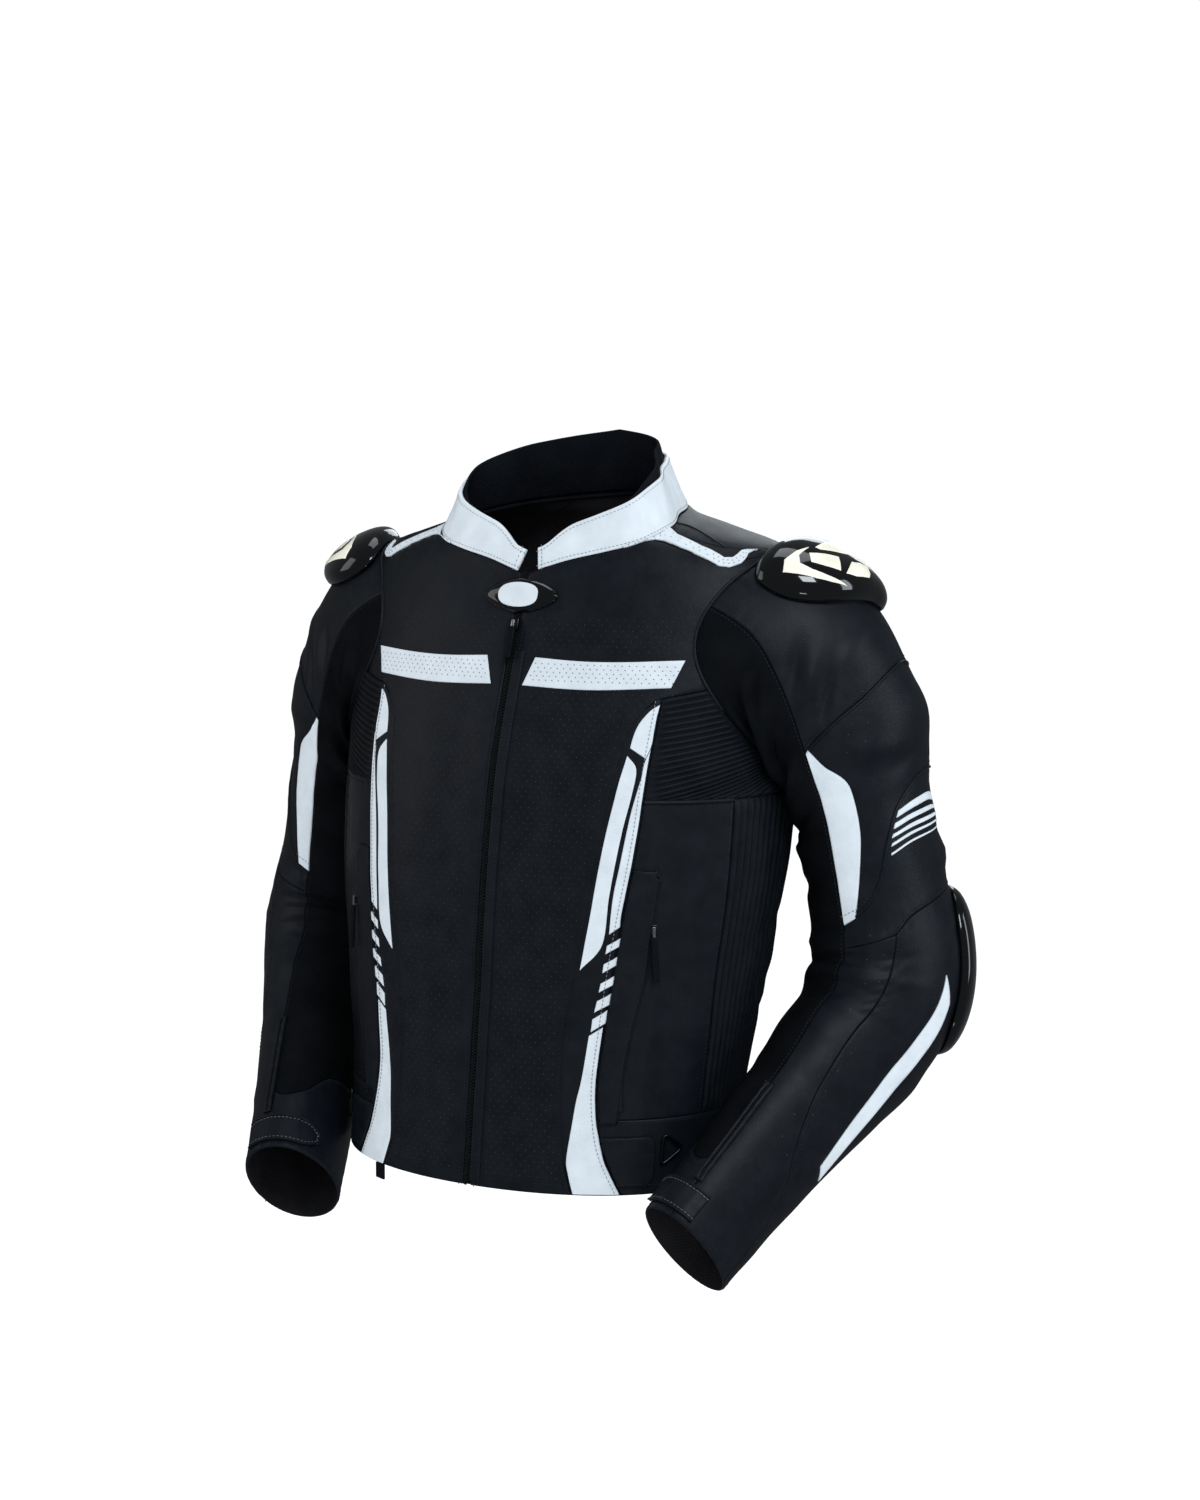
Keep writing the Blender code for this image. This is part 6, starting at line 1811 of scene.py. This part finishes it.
# %% cords round the armhole and inside the neck
turn = np.linspace(-128, 118, 150)
m, _ = mitre(turn)
cord("armhole_cord", [(armhole(turn) + m*0.0002, m)], 0.0015, black_leather)
turn = np.linspace(6, 354, 150)
p, n, tall = collar_surface(turn, 0*turn)
cord("neck_tape", [(p - n*(BAND_WALL + 0.001), n)], 0.0019, neck_knit, both=False)

# %% the pocket's flap with its cord
FLAP = [(0.1262, -0.284), (0.141, -0.2862), (0.1462, -0.291), (0.1445, -0.3015), (0.1435, -0.318),
        (0.141, -0.342), (0.139, -0.3665), (0.1345, -0.3885), (0.13, -0.41), (0.126, -0.4345),
        (0.123, -0.4595), (0.1205, -0.4905)]
inner = np.array([(outer_x(z, -0.0012), z) for _, z in FLAP])
strip_between("pocket_flap", front_place, inner, FLAP, (10, 77), black_leather, 0.003, smooth=False)
p, n = place_row(front_place, FLAP, 0.001, 80)
cord("flap_cord", [(p, n)], 0.001, black_leather)

# %% the seam over the shoulder
seam_places = [(60.0, 0.0499), (65.2, 0.043), (66.6, 0.0341), (66.0, 0.0245), (64.0, 0.0129),
               (62.0, 0.0003), (60.2, -0.017)]
p, n = place_row(trunk_on, seam_places, -0.0004, 60)
cord("shoulder_cord", [(p, n)], 0.0012, black_leather)

# %% [markdown]
# ## The back
# The jacket is cut for a forward seat, so the back is long, with a yoke over the shoulder blades, two
# shaped seams and a ribbed stretch piece at the waist.  The panel below is one sheet; the
# seams are cords, and the ribs are cords of stretch cloth that bow with the waist.

# %% yoke seam and shaped seams
YOKE = [(140, -0.088), (150, -0.094), (160, -0.102), (170, -0.108), (180, -0.11),
        (190, -0.108), (200, -0.102), (210, -0.094), (220, -0.088)]
SHAPED = [(150, -0.1), (152, -0.16), (155, -0.24), (156, -0.32), (154, -0.4),
          (151, -0.47), (149, -0.543)]
p, n = place_row(back_on, YOKE, -0.0004, 90)
cord("yoke_cord", [(p, n)], 0.0013, black_leather, both=False)
p, n = place_row(back_on, SHAPED, 0.0002, 90)
cord("shaped_cord", [(p, n)], 0.0012, black_leather)

# %% stretch piece at the waist, and a slender pale strip
strip_between("back_stretch", back_on,
              [(156.5, -0.372), (168, -0.366), (180, -0.364), (192, -0.366), (203.5, -0.372)],
              [(154.5, -0.436), (168, -0.442), (180, -0.444), (192, -0.442), (205.5, -0.436)],
              (8, 60), stretch, 0.0009, both=False)
ribs = []
for t in np.linspace(0.06, 0.94, 11):
    turn = np.linspace(157.2 - 1.5*t, 202.8 + 1.5*t, 70)
    bow = 1 - ((turn - 180)/24)**2
    ribs.append(back_on(turn, -0.372 - 0.064*t + bow*(0.008 - 0.016*t)))
cord("back_ribs", [(p + n*0.001, n) for p, n in ribs], 0.0017, stretch, both=False, sides=6)
strip_between("back_white_strip", back_on,
              [(158.5, -0.15), (160.5, -0.22), (161.0, -0.29), (158.5, -0.355)],
              [(154.0, -0.15), (157.0, -0.22), (158.0, -0.29), (158.2, -0.355)], (5, 50),
              white_leather, 0.0012)

# %% [markdown]
# ## Rows of stitches
# Every seam that is pressed open gets one or two rows of topstitching on its folded edge.
# Black thread is used on black leather; the pale pieces, the collar and the cuff tab show a
# grey thread.  Each group of rows becomes one mesh, so that there are few objects.

# %% stitches of the trunk
z = np.linspace(-0.545, -0.15, 160)
seam_row = np.stack([table(SEAM, z)[..., 0] - 0.0022, z], -1)
white_row = np.stack([table(INSERT, z)[..., 1] - 0.0042, z], -1)
trunk_rows = [place_row(front_place, seam_row, 0.0002)] + edge_rows(
    ("front", "left", 0.0035), ("front", "low", 0.008),
    ("side_accordion", "left", 0.002, 0.56, 1.0, 0.0004),
    ("side_panel", "right", 0.003), ("side_panel", "high", 0.0045),
    ("hem_band", "high", 0.003), ("hem_band", "low", 0.008),
    ("pocket_welt", "right", 0.002, 0, 1, 0.0002), ("pocket_welt", "high", 0.002),
    *[("waist_tab", side, 0.0025) for side in ("right", "high", "low")],
    ("shoulder_yoke", "right", 0.003), ("shoulder_yoke", "low", 0.003), ("hem_band", "right", 0.003))
lay("trunk_stitches", "thread", trunk_rows, thread_black)
beside = [(x - 0.0026, z - 0.0016) for x, z in FLAP[1:]]
lay("flap_stitches", "thread", [place_row(front_place, beside, 0.0031, 90)], thread_black)
z = np.linspace(-0.543, -0.114, 160)
facing_rows = [place_row(front_place, np.stack([x + 0*z, z], -1), 0.0015) for x in (0.0048, 0.0112)]
lay("facing_stitches", "thread", facing_rows, thread_black, both=False)
lay("strip_stitches", "thread", [place_row(front_place, white_row, 0.0017)], thread_grey, Wide=0.0006)

# %% stitches of the back
yoke_low = [(t, z - 0.0035) for t, z in YOKE]
yoke_lower = [(t, z - 0.003) for t, z in yoke_low]
back_rows = edge_rows(("back", "left", 0.003), ("back", "right", 0.003), ("back", "low", 0.008))
back_rows += [place_row(back_on, row, 0.0001, 110) for row in (yoke_low, yoke_lower)]
for s in (1, -1):
    beside = [(180 + s*(180 - t - 1.2), z) for t, z in SHAPED]
    back_rows.append(place_row(back_on, beside, 0.0001, 130))
lay("back_stitches", "thread", back_rows, thread_black, both=False)

# %% stitches of the sleeves and the cuffs
sleeve_rows = edge_rows(
    ("sleeve_cap", "high", 0.003, 0.06), ("sleeve_cap", "high", 0.0065, 0.06),
    ("sleeve_mid", "high", 0.003), ("sleeve_mid", "high", 0.006),
    ("sleeve_stretch", "left", 0.0022, 0, 0.95),
    ("forearm_outer", "left", 0.0028), ("forearm_outer", "left", 0.0058, 0, 0.9),
    ("sleeve_elbow", "low", 0.003, 0.3), ("sleeve_elbow", "high", 0.003, 0.3),
    ("forearm_front", "high", 0.006), ("forearm_outer", "high", 0.006),
    ("cuff_inner", "high", 0.006), ("cuff_inner", "low", 0.003))
lay("sleeve_stitches", "thread", sleeve_rows, thread_black)
tab_rows = edge_rows(*[("cuff_tab", side, 0.0026, 0.04, 0.96) for side in ("low", "high", "right")])
lay("cuff_tab_stitches", "thread", tab_rows, thread_grey, Wide=0.0004, High=0.0004)
mid, out = GRIDS["cuff_zip"]
lay("cuff_zip_teeth", "tooth", [(mid[3:-3, 12] + out[3:-3, 12]*0.0002, out[3:-3, 12])], dark_metal,
    Pitch=0.0022, Long=0.0011, Wide=0.0024, High=0.0008)
lay("insert_stitches", "thread", edge_rows(("sleeve_insert", "high", 0.008)), thread_grey)

# %% stitches of the collar
collar_rows = edge_rows(("collar", "low", 0.0035), ("collar", "high", 0.0035),
                        ("collar", "left", 0.004), ("collar", "right", 0.004))
lay("collar_stitches", "thread", collar_rows, thread_grey, both=False, Wide=0.0006)

# %% zip teeth
teeth = []
for x, shift in ((-0.0011, 0.0), (0.0011, 0.0013)):
    z = zip_line(220)
    p, n = front_place(x + 0*z, z + shift)
    teeth.append((p - n*0.0006, n))
lay("zip_teeth", "tooth", teeth, tape, both=False, Pitch=0.0026, Long=0.0013, Wide=0.0022, High=0.0012)

# %% [markdown]
# ## Perforations
# Air holes are punched through the front and the pale pieces in staggered fields.  They are
# under a millimetre wide, so a small dark disc on the surface reads as a hole.  The same tree
# lays them, one disc on every point, and a rule says which points of a field are kept.

# %% finishes of the holes
hole = mottled("hole_rim", (0.03, 0.03, 0.031), 0.8, (0.02, 0.02, 0.021),
               (0.042, 0.041, 0.041), 300.0, Specular_IOR_Level=0.1)
pore_grey = mottled("pore_grey", (0.1, 0.11, 0.12), 0.8, (0.08, 0.09, 0.1),
                    (0.13, 0.14, 0.15), 300.0, Specular_IOR_Level=0.1)
print("holes:", hole.name, pore_grey.name)


# %% fields of holes
def punch(name, rows, mat, wide):
    """Small discs of one width on every point of the rows."""
    lay(name, "dot", rows, mat, Long=wide, Wide=wide, High=1.0)


def dots_on(reader, xs, zs, keep, lift):
    """A staggered field of places on a surface."""
    rows = []
    for j, z in enumerate(zs):
        shift = 0.5*(xs[1] - xs[0])*(j % 2)
        for x in xs + shift:
            if keep(x, z):
                rows.append((x, z))
    rows = np.array(rows)
    p, n = reader(rows[:, 0], rows[:, 1])
    return p + n*lift, n


def on_front(x, z):
    """Whether a hole here is on the front's leather, clear of its seams and the chest bar."""
    inner_edge = float(table(SEAM, np.array(z))[..., 0]) if z < -0.15 else 0.15
    in_chest = -0.143 < z < -0.114 and x > 0.012
    ring_x = 0.152 - 0.5*max(z + 0.1, 0)
    return x < min(inner_edge - 0.006, ring_x - 0.01) and not in_chest


field = dots_on(front_place, np.arange(0.018, 0.15, 0.0075), np.arange(-0.535, -0.085, 0.0042),
                on_front, 0.00014)
punch("front_perforations", [field], hole, 0.0008)


def on_chest_bar(x, z):
    """Whether a hole here is inside the slanted chest bar."""
    t = (z + 0.14)/0.023
    return 0.0175 + 0.008*t < x < 0.1395 + 0.007*t and 0.08 < t < 0.92


field = dots_on(front_place, np.arange(0.016, 0.15, 0.0058), np.arange(-0.1385, -0.117, 0.0033),
                on_chest_bar, 0.0009)
punch("chest_bar_perforations", [field], pore_grey, 0.001)

# %% two rows of holes along the shoulder trim, and single ones down the sleeve
row = np.arange(1, 44)
t, half = row/44*11, np.where(row % 2, 0.33, 0.68)[:, None]
field = along(TRIM_EDGE, t)*(1 - half) + along(TRIM_TOP, t)*half
punch("trim_perforations", [place_row(trunk_on, field, 0.0014)], pore_grey, 0.001)
fore_dots = [(0.292, 75.0), (0.328, 79.5), (0.368, 75.0), (0.408, 71.5), (0.43, 64.0), (0.452, 59.0),
             (0.471, 54.0), (0.49, 53.0), (0.508, 48.0), (0.528, 43.5), (0.288, 63.5), (0.319, 67.0),
             (0.358, 66.5), (0.388, 61.5), (0.418, 54.5), (0.439, 47.0), (0.457, 45.0), (0.476, 40.5),
             (0.497, 35.5), (0.513, 31.5), (0.535, 28.5), (0.114, 35.5), (0.133, 39.5), (0.134, 52.5),
             (0.144, 57.5), (0.143, 45.0)]
punch("sleeve_perforations", [place_row(sleeve_on, fore_dots, 0.0002)], hole, 0.0012)

# %% [markdown]
# ## Putting each piece on its body
# Each shell replaces its solid and rides on the jacket's body; the other pieces ride on the
# body they are listed with, and hide the solids that they replace.

for node, (obj, wide, tall, area) in CLOTH.items():
    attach(obj, "jacket")
    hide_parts(node)
    area = float(np.clip(area, 0.3*wide*tall, wide*tall))
for obj, body, nodes, kind in OTHERS:
    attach(obj, body)
    if nodes:
        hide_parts(*nodes)
print(len(CLOTH), "cloth pieces and", len(OTHERS), "others")
